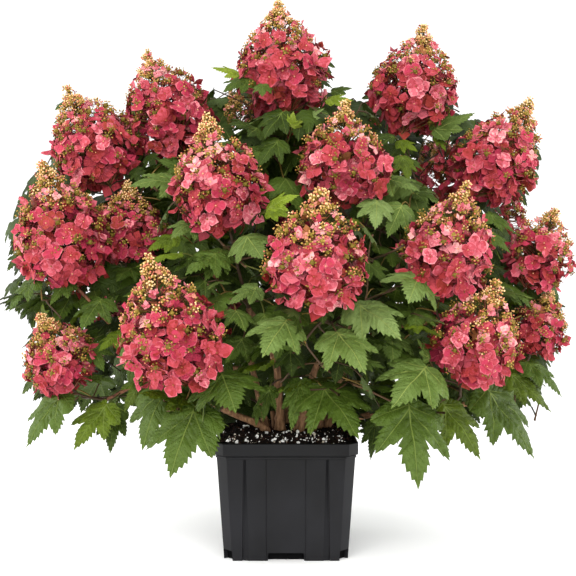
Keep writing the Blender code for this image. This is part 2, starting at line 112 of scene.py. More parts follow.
MASSES = {
    "foliage_skirt_left":         (76, 414, -0.060, 0.096, 0.145, 0.066, 0.20),
    "foliage_skirt_front_left":   (179, 420, -0.230, 0.086, 0.110, 0.078, 0.20),
    "foliage_skirt_front":        (320, 370, -0.262, 0.104, 0.130, 0.078, 0.08),
    "foliage_skirt_front_right":  (422, 418, -0.215, 0.088, 0.110, 0.096, 0.20),
    "foliage_skirt_right":        (514, 402, -0.050, 0.086, 0.145, 0.094, 0.20),
    "foliage_mid_left":           (67, 304, -0.020, 0.103, 0.165, 0.084, 0.10),
    "foliage_mid_front_left":     (232, 276, -0.165, 0.108, 0.125, 0.110, 0.05),
    "foliage_mid_front_right":    (385, 282, -0.165, 0.105, 0.125, 0.110, 0.05),
    "foliage_mid_right":          (512, 296, -0.010, 0.100, 0.165, 0.105, 0.10),
    "foliage_upper_left":         (162, 198, 0.020, 0.128, 0.140, 0.104, 0.00),
    "foliage_upper_right":        (428, 176, 0.020, 0.112, 0.135, 0.098, 0.00),
    "foliage_top":                (286, 128, 0.010, 0.112, 0.125, 0.118, 0.00),
}
REAR_MASSES = {
    "foliage_skirt_rear_right": (0.300, 0.270, 38.0, 0.135, 0.130, 0.100, 0.20),
    "foliage_skirt_rear_left":  (0.300, 0.270, 142.0, 0.135, 0.130, 0.100, 0.20),
    "foliage_skirt_rear":       (0.258, 0.285, 90.0, 0.150, 0.130, 0.110, 0.20),
    "foliage_mid_rear":         (0.215, 0.510, 90.0, 0.190, 0.150, 0.130, 0.05),
}
CANES = (
    ("cane_low_left", (-0.034, -0.046),
     ((-0.046, -0.049, 0.2185), (-0.110, -0.058, 0.2480), (-0.200, -0.062, 0.312)),
     0.0060, 0.0046, None),
    ("cane_left", (-0.036, 0.004),
     ((-0.046, 0.006, 0.250), (-0.066, 0.012, 0.330), (-0.105, 0.020, 0.420)),
     0.0058, 0.0044, None),
    ("cane_centre_left", (-0.010, -0.034),
     ((-0.012, -0.036, 0.250), (-0.020, -0.040, 0.330)),
     0.0078, 0.0046, "foliage_mid_front_left"),
    ("cane_centre_right", (0.023, -0.044),
     ((0.034, -0.044, 0.250), (0.054, -0.048, 0.320)),
     0.0072, 0.0044, "foliage_mid_front_right"),
    ("cane_right", (0.052, -0.016),
     ((0.066, -0.020, 0.240), (0.098, -0.024, 0.300), (0.150, -0.024, 0.372)),
     0.0066, 0.0046, None),
    ("cane_low_right", (0.056, 0.018),
     ((0.064, 0.013, 0.2190), (0.128, -0.022, 0.2270), (0.200, -0.034, 0.246)),
     0.0056, 0.0042, "foliage_skirt_right"),
    ("cane_rear", (0.004, 0.036),
     ((0.006, 0.044, 0.260), (0.008, 0.052, 0.340), (0.004, 0.056, 0.430)),
     0.0070, 0.0050, None),
    ("cane_rear_left", (-0.036, 0.046),
     ((-0.052, 0.066, 0.245), (-0.085, 0.100, 0.300)),
     0.0056, 0.0042, "foliage_skirt_rear_left"),
)
BOUGHS = (
    ("bough_left", "cane_low_left", "head_left", 0.0036, 0.0026, 0.10),
    ("bough_skirt_left", "cane_low_left", "foliage_skirt_left", 0.0034, 0.0024, 0.06),
    ("bough_upper_left", "cane_left", "foliage_upper_left", 0.0036, 0.0026, 0.05),
    ("bough_mid_left", "cane_left", "foliage_mid_left", 0.0034, 0.0024, 0.08),
    ("bough_mid_right", "cane_right", "foliage_mid_right", 0.0034, 0.0024, 0.08),
    ("bough_upper_right", "cane_right", "foliage_upper_right", 0.0036, 0.0026, 0.05),
    ("bough_top", "cane_rear", "foliage_top", 0.0040, 0.0028, 0.03),
    ("bough_rear", "cane_rear", "foliage_mid_rear", 0.0036, 0.0026, 0.06),
)


def spline(knots, n):
    """Smooth curve through the knots, as n + 1 points."""
    pts = [knots[0] * 2 - knots[1], *knots, knots[-1] * 2 - knots[-2]]
    out = []
    spans = len(knots) - 1
    for k in range(n + 1):
        t = k / n * spans
        i = min(int(t), spans - 1)
        f = t - i
        a, b, c, d = pts[i:i + 4]
        out.append(0.5 * ((2 * b) + (c - a) * f
                          + (2 * a - 5 * b + 4 * c - d) * f * f
                          + (3 * b - a - 3 * c + d) * f * f * f))
    return out


def uneven(rng, amount, waves=5):
    terms = []
    for _ in range(waves):
        axis = Vector((rng.gauss(0, 1), rng.gauss(0, 1), rng.gauss(0, 1))).normalized()
        terms.append((axis * rng.uniform(1.8, 4.2), rng.uniform(0, 6.283)))
    return lambda d: 1.0 + amount * sum(
        math.cos(w.dot(d) * 2.0 + p) for w, p in terms) / math.sqrt(waves)


def mass_points(centre, across, outward, half, droop, seed):
    """The corner points of a foliage mass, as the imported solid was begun."""
    bump = uneven(random.Random(seed), 0.085)

    def point(d):
        p = (across * (d.x * half[0]) + outward * (d.y * half[1])
             + Vector((0.0, 0.0, 1.0)) * (d.z * half[2]))
        p *= bump(d)
        out = max(0.0, p.dot(outward))
        p.z -= droop * out
        return centre + p

    verts = [point(Vector((0.0, 0.0, 1.0)))]
    for k in range(7):
        el = math.pi * (0.5 - (k + 1) / 8.0)
        for i in range(12):
            az = 2.0 * math.pi * (i + 0.5 * (k % 2)) / 12
            verts.append(point(Vector((math.cos(el) * math.cos(az),
                                       math.cos(el) * math.sin(az),
                                       math.sin(el)))))
    verts.append(point(Vector((0.0, 0.0, -1.0))))
    return verts


def level(vector):
    flat = Vector((vector.x, vector.y, 0.0))
    return flat.normalized() if flat.length > 0.03 else Vector((0.0, -1.0, 0.0))


def plan():
    heads, masses, limbs = {}, {}, {}
    for name, (tu, tv, ty, bu, bv, by, wide) in HEADS.items():
        heads[name] = (seen(tu, tv, ty), seen(bu, bv, by),
                       wide * (0.5 * (ty + by) + EYE_BACK) / EYE_F)
    for stem, radius, low, tall, wide, bearings in REAR_TIERS:
        for k, bearing in enumerate(bearings):
            a = math.radians(bearing)
            out = Vector((math.cos(a), math.sin(a), 0.0))
            base = out * radius + Vector((0.0, 0.0, low + 0.012 * math.cos(5 * a)))
            tip = base + (Vector((0.0, 0.0, 1.0)) + out * 0.26).normalized() * tall
            heads[f"{stem}_{k + 1}" if len(bearings) > 1 else stem] = (tip, base, wide)
    for k, (name, row) in enumerate(MASSES.items()):
        u, v, y, hx, hy, hz, droop = row
        centre = seen(u, v, y)
        verts = mass_points(centre, Vector((1.0, 0.0, 0.0)), Vector((0.0, -1.0, 0.0)),
                            (hx, hy, hz), 0.0, 500 + k)
        out = level(centre)
        verts = [p - Vector((0.0, 0.0, droop * max(0.0, (p - centre).dot(out))))
                 for p in verts]
        masses[name] = (centre, verts, (hx, hy, hz), out)
    for k, (name, row) in enumerate(REAR_MASSES.items()):
        radius, z, bearing, hx, hy, hz, droop = row
        a = math.radians(bearing)
        out = Vector((math.cos(a), math.sin(a), 0.0))
        across = Vector((-out.y, out.x, 0.0))
        centre = out * radius + Vector((0.0, 0.0, z))
        masses[name] = (centre, mass_points(centre, across, out, (hx, hy, hz), droop,
                                            700 + k), (hx, hy, hz), out)

    def entry(target, start, depth):
        if target in heads:
            tip, base, _ = heads[target]
            return base - (tip - base).normalized() * 0.004
        centre, verts = masses[target][:2]
        way = (start - centre).normalized()
        reach = max((v - centre).dot(way) for v in verts)
        return centre + way * (reach * depth)

    for name, foot, knots, r0, r1, target in CANES:
        start = Vector((*foot, SOIL_Z + GAP))
        path = [start, *(Vector(k) for k in knots)]
        if target:
            path.append(entry(target, path[-1], 0.62))
        limbs[name] = (path, r0, r1, 8 if target else 7)
    for name, cane, target, r0, r1, sag in BOUGHS:
        path, _, _, n = limbs[cane]
        pts = spline(path, n)
        tip = pts[-1]
        ahead = (tip - pts[-2]).normalized()
        goal = entry(target, tip, 0.66)
        twin = next(b for b in BOUGHS if b[1] == cane and b[0] != name)
        other = entry(twin[2], tip, 0.66)
        part = (goal - other) - ahead * (goal - other).dot(ahead)
        part.normalize()
        start = tip + ahead * (GAP * 2.0) + part * (r0 + GAP * 2.0)
        lift = start + ahead * 0.022 + part * 0.006
        span = goal - lift
        mid = lift + span * 0.5 + Vector((0.0, 0.0, -sag * span.length))
        limbs[name] = ([start, lift, mid, goal], r0, r1, 7)
    return heads, masses, limbs


HEAD_AT, MASS_AT, LIMB_AT = plan()

# ----------------------------------------------------------------- materials


def lin(r, g, b):
    """Linear colour from display values."""
    out = []
    for c in (r, g, b):
        c = c / 255.0
        out.append(c / 12.92 if c <= 0.04045 else ((c + 0.055) / 1.055) ** 2.4)
    return tuple(out)


def shader_of(mat):
    return mat.node_tree.nodes["Principled BSDF"]


def plain(name, rgb, rough=0.6, spec=0.3, sheen=0.0):
    mat = bpy.data.materials.new(name)
    mat.use_nodes = True
    p = shader_of(mat)
    p.inputs["Base Color"].default_value = (*lin(*rgb), 1.0)
    p.inputs["Roughness"].default_value = rough
    p.inputs["Specular IOR Level"].default_value = spec
    if sheen:
        p.inputs["Sheen Weight"].default_value = sheen
        p.inputs["Sheen Roughness"].default_value = 0.5
    return mat


def steps(table, n):
    """The table's colours spread over n even steps."""
    at = np.linspace(0, len(table) - 1, n)
    cols = np.array(table, float)
    return tuple(tuple(float(np.interp(x, range(len(table)), cols[:, c])) for c in range(3))
                 for x in at)


# Blade greens from shade to light: the cool ones, then the sunlit ones.
COOL, SUNLIT = 15, 13
LEAF_TINTS = steps((
    (29, 40, 6), (39, 53, 9), (50, 66, 14), (61, 79, 21), (72, 91, 32),
    (85, 104, 46), (99, 118, 61), (115, 133, 76)), COOL) + steps((
        (46, 58, 6), (62, 77, 8), (78, 95, 13), (95, 113, 20), (112, 130, 32),
        (128, 146, 48), (146, 163, 70)), SUNLIT)
LEAF_RIB = ((62, 76, 28), (92, 106, 46), (122, 134, 68))
FLOWER_TINTS = (
    (122, 38, 32), (141, 45, 46), (154, 54, 61), (167, 66, 77), (182, 87, 98),
    (204, 120, 126), (223, 156, 152), (140, 54, 44), (162, 48, 70), (198, 124, 104),
)
FLOWER_HEARTS = ((214, 160, 118), (150, 92, 52))
BUD_TINTS = (
    (70, 60, 14), (100, 86, 26), (130, 110, 42), (160, 130, 60), (192, 150, 90),
    (228, 188, 136), (198, 112, 88), (124, 56, 38),
)
STALK_TINTS = (
    (146, 78, 62), (112, 94, 40), (76, 66, 24), (58, 42, 26), (78, 56, 36),
    (74, 78, 27), (110, 88, 42),
)


def nodes_of(mat):
    return mat.node_tree.nodes, mat.node_tree.links


def crinkle(mat, scale, strength, distance, cells=0.0):
    """Fine relief on a plain coloured surface."""
    nt, links = nodes_of(mat)
    coord = nt.new("ShaderNodeTexCoord")
    wrinkle = nt.new("ShaderNodeTexNoise")
    wrinkle.inputs["Scale"].default_value = scale
    wrinkle.inputs["Detail"].default_value = 3.0
    links.new(coord.outputs["Object"], wrinkle.inputs["Vector"])
    bump = nt.new("ShaderNodeBump")
    bump.inputs["Strength"].default_value = strength
    bump.inputs["Distance"].default_value = distance
    links.new(wrinkle.outputs["Fac"], bump.inputs["Height"])
    last = bump
    if cells:
        net = nt.new("ShaderNodeTexVoronoi")
        net.feature = 'DISTANCE_TO_EDGE'
        net.inputs["Scale"].default_value = cells
        links.new(coord.outputs["Object"], net.inputs["Vector"])
        puff = nt.new("ShaderNodeBump")
        puff.inputs["Strength"].default_value = strength
        puff.inputs["Distance"].default_value = distance * 1.6
        links.new(net.outputs["Distance"], puff.inputs["Height"])
        links.new(bump.outputs["Normal"], puff.inputs["Normal"])
        last = puff
    links.new(last.outputs["Normal"], shader_of(mat).inputs["Normal"])
    return mat


def tint_set(stem, tints, rough, spec, sheen=0.0, relief=None):
    mats = [plain(f"{stem}_{k}", rgb, rough, spec, sheen) for k, rgb in enumerate(tints)]
    if relief:
        for mat in mats:
            crinkle(mat, *relief)
    return mats


def veined(mat):
    """Quilting between the side veins, in the blade's own coordinates."""
    nt, links = nodes_of(mat)
    own = nt.new("ShaderNodeAttribute")
    own.attribute_name = "blade"
    part = nt.new("ShaderNodeSeparateXYZ")
    links.new(own.outputs["Vector"], part.inputs["Vector"])

    def calc(op, a, b=None, clamp=False):
        node = nt.new("ShaderNodeMath")
        node.operation = op
        node.use_clamp = clamp
        for k, val in enumerate((a, b)):
            if val is None:
                continue
            if isinstance(val, (int, float)):
                node.inputs[k].default_value = val
            else:
                links.new(val, node.inputs[k])
        return node.outputs["Value"]

    x, y = part.outputs["X"], part.outputs["Y"]
    # side veins leave the midrib forwards; x runs away from the nearest rib
    run = calc('SUBTRACT', y, calc('MULTIPLY', x, 1.15))
    wave = nt.new("ShaderNodeTexNoise")
    wave.inputs["Scale"].default_value = 9.0
    links.new(own.outputs["Vector"], wave.inputs["Vector"])
    run = calc('ADD', run, calc('MULTIPLY', wave.outputs["Fac"], 0.05))
    saw = calc('ABSOLUTE', calc('SINE', calc('MULTIPLY', run, 36.0)))
    groove = calc('POWER', saw, 0.5)
    small = nt.new("ShaderNodeTexVoronoi")
    small.feature = 'DISTANCE_TO_EDGE'
    small.inputs["Scale"].default_value = 34.0
    links.new(own.outputs["Vector"], small.inputs["Vector"])
    first = nt.new("ShaderNodeBump")
    first.inputs["Strength"].default_value = 0.6
    first.inputs["Distance"].default_value = 0.0011
    links.new(groove, first.inputs["Height"])
    second = nt.new("ShaderNodeBump")
    second.inputs["Strength"].default_value = 0.6
    second.inputs["Distance"].default_value = 0.0022
    links.new(small.outputs["Distance"], second.inputs["Height"])
    links.new(first.outputs["Normal"], second.inputs["Normal"])
    links.new(second.outputs["Normal"], shader_of(mat).inputs["Normal"])
    return mat


LEAF_MATS = ([veined(m) for m in tint_set("leaf", LEAF_TINTS, 0.52, 0.18)]
             + tint_set("leaf_rib", LEAF_RIB, 0.55, 0.14, 0.0, (420.0, 0.3, 0.0006)))
def fanned(mat):
    """Fine veins that fan out over each sepal, in its own coordinates."""
    nt, links = nodes_of(mat)
    own = nt.new("ShaderNodeAttribute")
    own.attribute_name = "blade"
    part = nt.new("ShaderNodeSeparateXYZ")
    links.new(own.outputs["Vector"], part.inputs["Vector"])
    lift = nt.new("ShaderNodeMath")
    lift.inputs[1].default_value = 0.25
    links.new(part.outputs["Y"], lift.inputs[0])
    angle = nt.new("ShaderNodeMath")
    angle.operation = 'ARCTAN2'
    links.new(part.outputs["X"], angle.inputs[0])
    links.new(lift.outputs["Value"], angle.inputs[1])
    rays = nt.new("ShaderNodeMath")
    rays.operation = 'MULTIPLY'
    rays.inputs[1].default_value = 30.0
    links.new(angle.outputs["Value"], rays.inputs[0])
    wave = nt.new("ShaderNodeMath")
    wave.operation = 'SINE'
    links.new(rays.outputs["Value"], wave.inputs[0])
    noise = nt.new("ShaderNodeTexNoise")
    noise.inputs["Scale"].default_value = 5.0
    noise.inputs["Detail"].default_value = 3.0
    links.new(own.outputs["Vector"], noise.inputs["Vector"])
    first = nt.new("ShaderNodeBump")
    first.inputs["Strength"].default_value = 0.35
    first.inputs["Distance"].default_value = 0.0004
    links.new(wave.outputs["Value"], first.inputs["Height"])
    second = nt.new("ShaderNodeBump")
    second.inputs["Strength"].default_value = 0.8
    second.inputs["Distance"].default_value = 0.0032
    links.new(noise.outputs["Fac"], second.inputs["Height"])
    links.new(first.outputs["Normal"], second.inputs["Normal"])
    links.new(second.outputs["Normal"], shader_of(mat).inputs["Normal"])
    return mat


FLOWER_MATS = ([fanned(m) for m in tint_set("sepal", FLOWER_TINTS, 0.62, 0.12)]
               + tint_set("sepal_heart", FLOWER_HEARTS, 0.6, 0.2))
BUD_MATS = tint_set("bud", BUD_TINTS, 0.55, 0.16, 0.0, (1500.0, 0.3, 0.0003))
STALK_MATS = tint_set("stalk", STALK_TINTS, 0.6, 0.22, 0.0, (900.0, 0.4, 0.0004))


def ramp(nt, links, source, stops):
    node = nt.new("ShaderNodeValToRGB")
    links.new(source, node.inputs["Fac"])
    el = node.color_ramp.elements
    el[0].position, el[0].color = stops[0][0], (*lin(*stops[0][1]), 1.0)
    el[1].position, el[1].color = stops[-1][0], (*lin(*stops[-1][1]), 1.0)
    for pos, rgb in stops[1:-1]:
        e = el.new(pos)
        e.color = (*lin(*rgb), 1.0)
    return node.outputs["Color"]


def bark_material(name, dark, mid, light, rough):
    """Brown bark with long darker streaks and paler worn patches."""
    mat = bpy.data.materials.new(name)
    mat.use_nodes = True
    nt, links = nodes_of(mat)
    p = shader_of(mat)
    coord = nt.new("ShaderNodeTexCoord")
    stretch = nt.new("ShaderNodeMapping")
    stretch.inputs["Scale"].default_value = (260.0, 260.0, 42.0)
    links.new(coord.outputs["Object"], stretch.inputs["Vector"])
    grain = nt.new("ShaderNodeTexNoise")
    grain.inputs["Scale"].default_value = 1.0
    grain.inputs["Detail"].default_value = 6.0
    grain.inputs["Roughness"].default_value = 0.62
    links.new(stretch.outputs["Vector"], grain.inputs["Vector"])
    links.new(ramp(nt, links, grain.outputs["Fac"],
                   ((0.30, dark), (0.50, mid), (0.68, light))), p.inputs["Base Color"])
    bump = nt.new("ShaderNodeBump")
    bump.inputs["Strength"].default_value = 0.6
    bump.inputs["Distance"].default_value = 0.0006
    links.new(grain.outputs["Fac"], bump.inputs["Height"])
    links.new(bump.outputs["Normal"], p.inputs["Normal"])
    p.inputs["Roughness"].default_value = rough
    p.inputs["Specular IOR Level"].default_value = 0.25
    return mat


CANE_MAT = bark_material("cane_bark", (62, 42, 28), (112, 80, 54), (150, 116, 82), 0.82)
BOUGH_MAT = bark_material("bough_bark", (66, 38, 28), (112, 68, 48), (142, 100, 70), 0.72)


def plastic_material():
    """Dark grey moulded plastic: faint mottling, a satin sheen and painted shade towards the rim."""
    mat = bpy.data.materials.new("pot_plastic")
    mat.use_nodes = True
    nt, links = nodes_of(mat)
    p = shader_of(mat)
    coord = nt.new("ShaderNodeTexCoord")
    cloud = nt.new("ShaderNodeTexNoise")
    cloud.inputs["Scale"].default_value = 16.0
    cloud.inputs["Detail"].default_value = 5.0
    links.new(coord.outputs["Object"], cloud.inputs["Vector"])
    # painted shade: the colour is a little darker towards the rim
    apart = nt.new("ShaderNodeSeparateXYZ")
    links.new(coord.outputs["Object"], apart.inputs["Vector"])
    rise = nt.new("ShaderNodeMapRange")
    rise.inputs["From Min"].default_value = 0.07
    rise.inputs["From Max"].default_value = 0.185
    rise.inputs["To Min"].default_value = 0.0
    rise.inputs["To Max"].default_value = 0.40
    links.new(apart.outputs["Z"], rise.inputs["Value"])
    less = nt.new("ShaderNodeMath")
    less.operation = 'SUBTRACT'
    links.new(cloud.outputs["Fac"], less.inputs[0])
    links.new(rise.outputs["Result"], less.inputs[1])
    links.new(ramp(nt, links, less.outputs["Value"],
                   ((0.0, (12, 12, 13)), (0.35, (20, 20, 22)), (0.7, (27, 27, 30)))),
              p.inputs["Base Color"])
    fine = nt.new("ShaderNodeTexNoise")
    fine.inputs["Scale"].default_value = 900.0
    fine.inputs["Detail"].default_value = 2.0
    links.new(coord.outputs["Object"], fine.inputs["Vector"])
    rough = nt.new("ShaderNodeMapRange")
    rough.inputs["To Min"].default_value = 0.42
    rough.inputs["To Max"].default_value = 0.60
    links.new(cloud.outputs["Fac"], rough.inputs["Value"])
    links.new(rough.outputs["Result"], p.inputs["Roughness"])
    bump = nt.new("ShaderNodeBump")
    bump.inputs["Strength"].default_value = 0.12
    bump.inputs["Distance"].default_value = 0.0002
    links.new(fine.outputs["Fac"], bump.inputs["Height"])
    links.new(bump.outputs["Normal"], p.inputs["Normal"])
    p.inputs["Specular IOR Level"].default_value = 0.15
    return mat


def soil_material():
    mat = bpy.data.materials.new("potting_mix")
    mat.use_nodes = True
    nt, links = nodes_of(mat)
    p = shader_of(mat)
    coord = nt.new("ShaderNodeTexCoord")
    crumb = nt.new("ShaderNodeTexNoise")
    crumb.inputs["Scale"].default_value = 420.0
    crumb.inputs["Detail"].default_value = 6.0
    links.new(coord.outputs["Object"], crumb.inputs["Vector"])
    links.new(ramp(nt, links, crumb.outputs["Fac"],
                   ((0.35, (12, 8, 6)), (0.55, (30, 20, 15)), (0.75, (56, 38, 27)))),
              p.inputs["Base Color"])
    bump = nt.new("ShaderNodeBump")
    bump.inputs["Strength"].default_value = 0.9
    bump.inputs["Distance"].default_value = 0.002
    links.new(crumb.outputs["Fac"], bump.inputs["Height"])
    links.new(bump.outputs["Normal"], p.inputs["Normal"])
    p.inputs["Roughness"].default_value = 0.95
    p.inputs["Specular IOR Level"].default_value = 0.2
    return mat


# -------------------------------------------------------------- mesh helpers
class Piece:
    """Triangles of one piece, gathered with a material index each."""

    def __init__(self):
        self.v, self.f, self.m, self.n, self.t = [], [], [], 0, 0
        self.own = []

    def add(self, verts, faces, mats, own=None):
        if own is not None:
            self.own.append(np.asarray(own, np.float64))
        verts = np.asarray(verts, np.float64).reshape(-1, 3)
        faces = np.asarray(faces, np.int64).reshape(-1, 3)
        self.v.append(verts)
        self.f.append(faces + self.n)
        self.m.append(np.broadcast_to(np.asarray(mats, np.int32), (len(faces),)))
        self.n += len(verts)
        self.t += len(faces)

    def build(self, name, materials, slot, replaced=(), smooth=True):
        v, f = np.concatenate(self.v), np.concatenate(self.f)
        m = np.concatenate(self.m)
        mesh = bpy.data.meshes.new(name)
        mesh.vertices.add(len(v))
        mesh.vertices.foreach_set("co", v.astype(np.float32).ravel())
        mesh.loops.add(len(f) * 3)
        mesh.loops.foreach_set("vertex_index", f.astype(np.int32).ravel())
        mesh.polygons.add(len(f))
        mesh.polygons.foreach_set("loop_start", np.arange(len(f), dtype=np.int32) * 3)
        mesh.polygons.foreach_set("material_index", m.astype(np.int32))
        mesh.polygons.foreach_set("use_smooth", np.full(len(f), smooth))
        for mat in materials:
            mesh.materials.append(mat)
        if self.own:
            layer = mesh.attributes.new("blade", 'FLOAT_VECTOR', 'POINT')
            layer.data.foreach_set("vector", np.concatenate(self.own).astype(np.float32)
                                   .ravel())
        mesh.update(calc_edges=True)
        obj = bpy.data.objects.new(name, mesh)
        bpy.context.scene.collection.objects.link(obj)
        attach(obj, "root")
        if replaced:
            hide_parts(*replaced)
        print(f"piece {name}: {len(f)} triangles")
        return obj


def unit(a):
    a = np.asarray(a, float)
    return a / np.maximum(np.linalg.norm(a, axis=-1, keepdims=True), 1e-12)


def rings_of(P, R, sides, phase=0.0):
    """Ring points round many curves: P is (k, n, 3), R is (k, n)."""
    P = np.asarray(P, float)
    T = np.empty_like(P)
    T[:, 1:-1] = P[:, 2:] - P[:, :-2]
    T[:, 0] = P[:, 1] - P[:, 0]
    T[:, -1] = P[:, -1] - P[:, -2]
    T = unit(T)
    ref = np.where(np.abs(T[:, 0, 2:3]) < 0.8, np.array([[0.0, 0.0, 1.0]]),
                   np.array([[1.0, 0.0, 0.0]]))
    side = unit(np.cross(T[:, 0], ref))
    S = np.empty_like(P)
    for i in range(P.shape[1]):
        side = unit(side - T[:, i] * np.sum(side * T[:, i], -1, keepdims=True))
        S[:, i] = side
    U = np.cross(T, S)
    a = 2.0 * np.pi * np.arange(sides) / sides + phase
    ring = (np.cos(a)[None, None, :, None] * S[:, :, None, :]
            + np.sin(a)[None, None, :, None] * U[:, :, None, :])
    return P, T, ring, np.asarray(R, float)


def tubes(P, R, sides, cap=True):
    """Tapered tubes with a pointed far end, as verts and triangles."""
    P, T, ring, R = rings_of(P, R, sides)
    k, n = P.shape[:2]
    body = P[:, :, None, :] + ring * R[:, :, None, None]
    if not cap:
        per = n * sides
        i = np.arange(sides)
        j = (i + 1) % sides
        rows = (np.arange(n - 1) * sides)[:, None]
        a0, b0 = rows + i, rows + j
        one = np.concatenate([np.stack([a0, b0, b0 + sides], -1).reshape(-1, 3),
                              np.stack([a0, b0 + sides, a0 + sides], -1).reshape(-1, 3)])
        faces = (one[None] + (np.arange(k) * per)[:, None, None]).reshape(-1, 3)
        return body.reshape(-1, 3), faces, len(one)
    tips = P[:, -1] + T[:, -1] * R[:, -1:] * 0.7
    verts = np.concatenate([body.reshape(k, n * sides, 3), tips[:, None, :]], 1)
    per = n * sides + 1
    i = np.arange(sides)
    j = (i + 1) % sides
    rows = (np.arange(n - 1) * sides)[:, None]
    a0, b0 = rows + i, rows + j
    one = np.concatenate([
        np.stack([a0, b0, b0 + sides], -1).reshape(-1, 3),
        np.stack([a0, b0 + sides, a0 + sides], -1).reshape(-1, 3),
        np.stack([(n - 1) * sides + i, (n - 1) * sides + j,
                  np.full(sides, n * sides)], -1)])
    faces = (one[None] + (np.arange(k) * per)[:, None, None]).reshape(-1, 3)
    return verts.reshape(-1, 3), faces, len(one)


def hermite(p0, d0, p1, d1, n):
    """Curves from p0 to p1 with end tangents d0 and d1; any batch shape."""
    p0, d0, p1, d1 = (np.asarray(a, float)[..., None, :] for a in (p0, d0, p1, d1))
    t = np.linspace(0.0, 1.0, n)[:, None]
    return ((2 * t**3 - 3 * t**2 + 1) * p0 + (t**3 - 2 * t**2 + t) * d0
            + (-2 * t**3 + 3 * t**2) * p1 + (t**3 - t**2) * d1)


def resample(points, n):
    points = np.asarray(points, float)
    seg = np.linalg.norm(np.diff(points, axis=0), axis=1)
    s = np.concatenate([[0.0], np.cumsum(seg)])
    at = np.linspace(0.0, s[-1], n)
    return np.stack([np.interp(at, s, points[:, c]) for c in range(3)], 1)


# ------------------------------------------------------------ leaf templates
def smooth_curve(points, n=40):
    """Dense curve through 2-D points."""
    p = [np.asarray(q, float) for q in points]
    pts = [2 * p[0] - p[1], *p, 2 * p[-1] - p[-2]]
    out = []
    spans = len(p) - 1
    for k in range(n + 1):
        t = k / n * spans
        i = min(int(t), spans - 1)
        f = t - i
        a, b, c, d = pts[i:i + 4]
        out.append(0.5 * ((2 * b) + (c - a) * f + (2 * a - 5 * b + 4 * c - d) * f * f
                          + (3 * b - a - 3 * c + d) * f**3))
    return np.array(out)


def at_length(curve, s):
    seg = np.linalg.norm(np.diff(curve, axis=0), axis=1)
    acc = np.concatenate([[0.0], np.cumsum(seg)])
    x = s * acc[-1]
    p = np.array([np.interp(x, acc, curve[:, 0]), np.interp(x, acc, curve[:, 1])])
    i = min(max(int(np.searchsorted(acc, x)), 1), len(curve) - 1)
    t = curve[i] - curve[i - 1]
    return p, t / max(np.linalg.norm(t), 1e-9)


def near_line(p, a, b):
    ab = b - a
    t = np.clip(((p - a) @ ab) / max(ab @ ab, 1e-12), 0.0, 1.0)
    return np.linalg.norm(p - (a + t[..., None] * ab), axis=-1), t


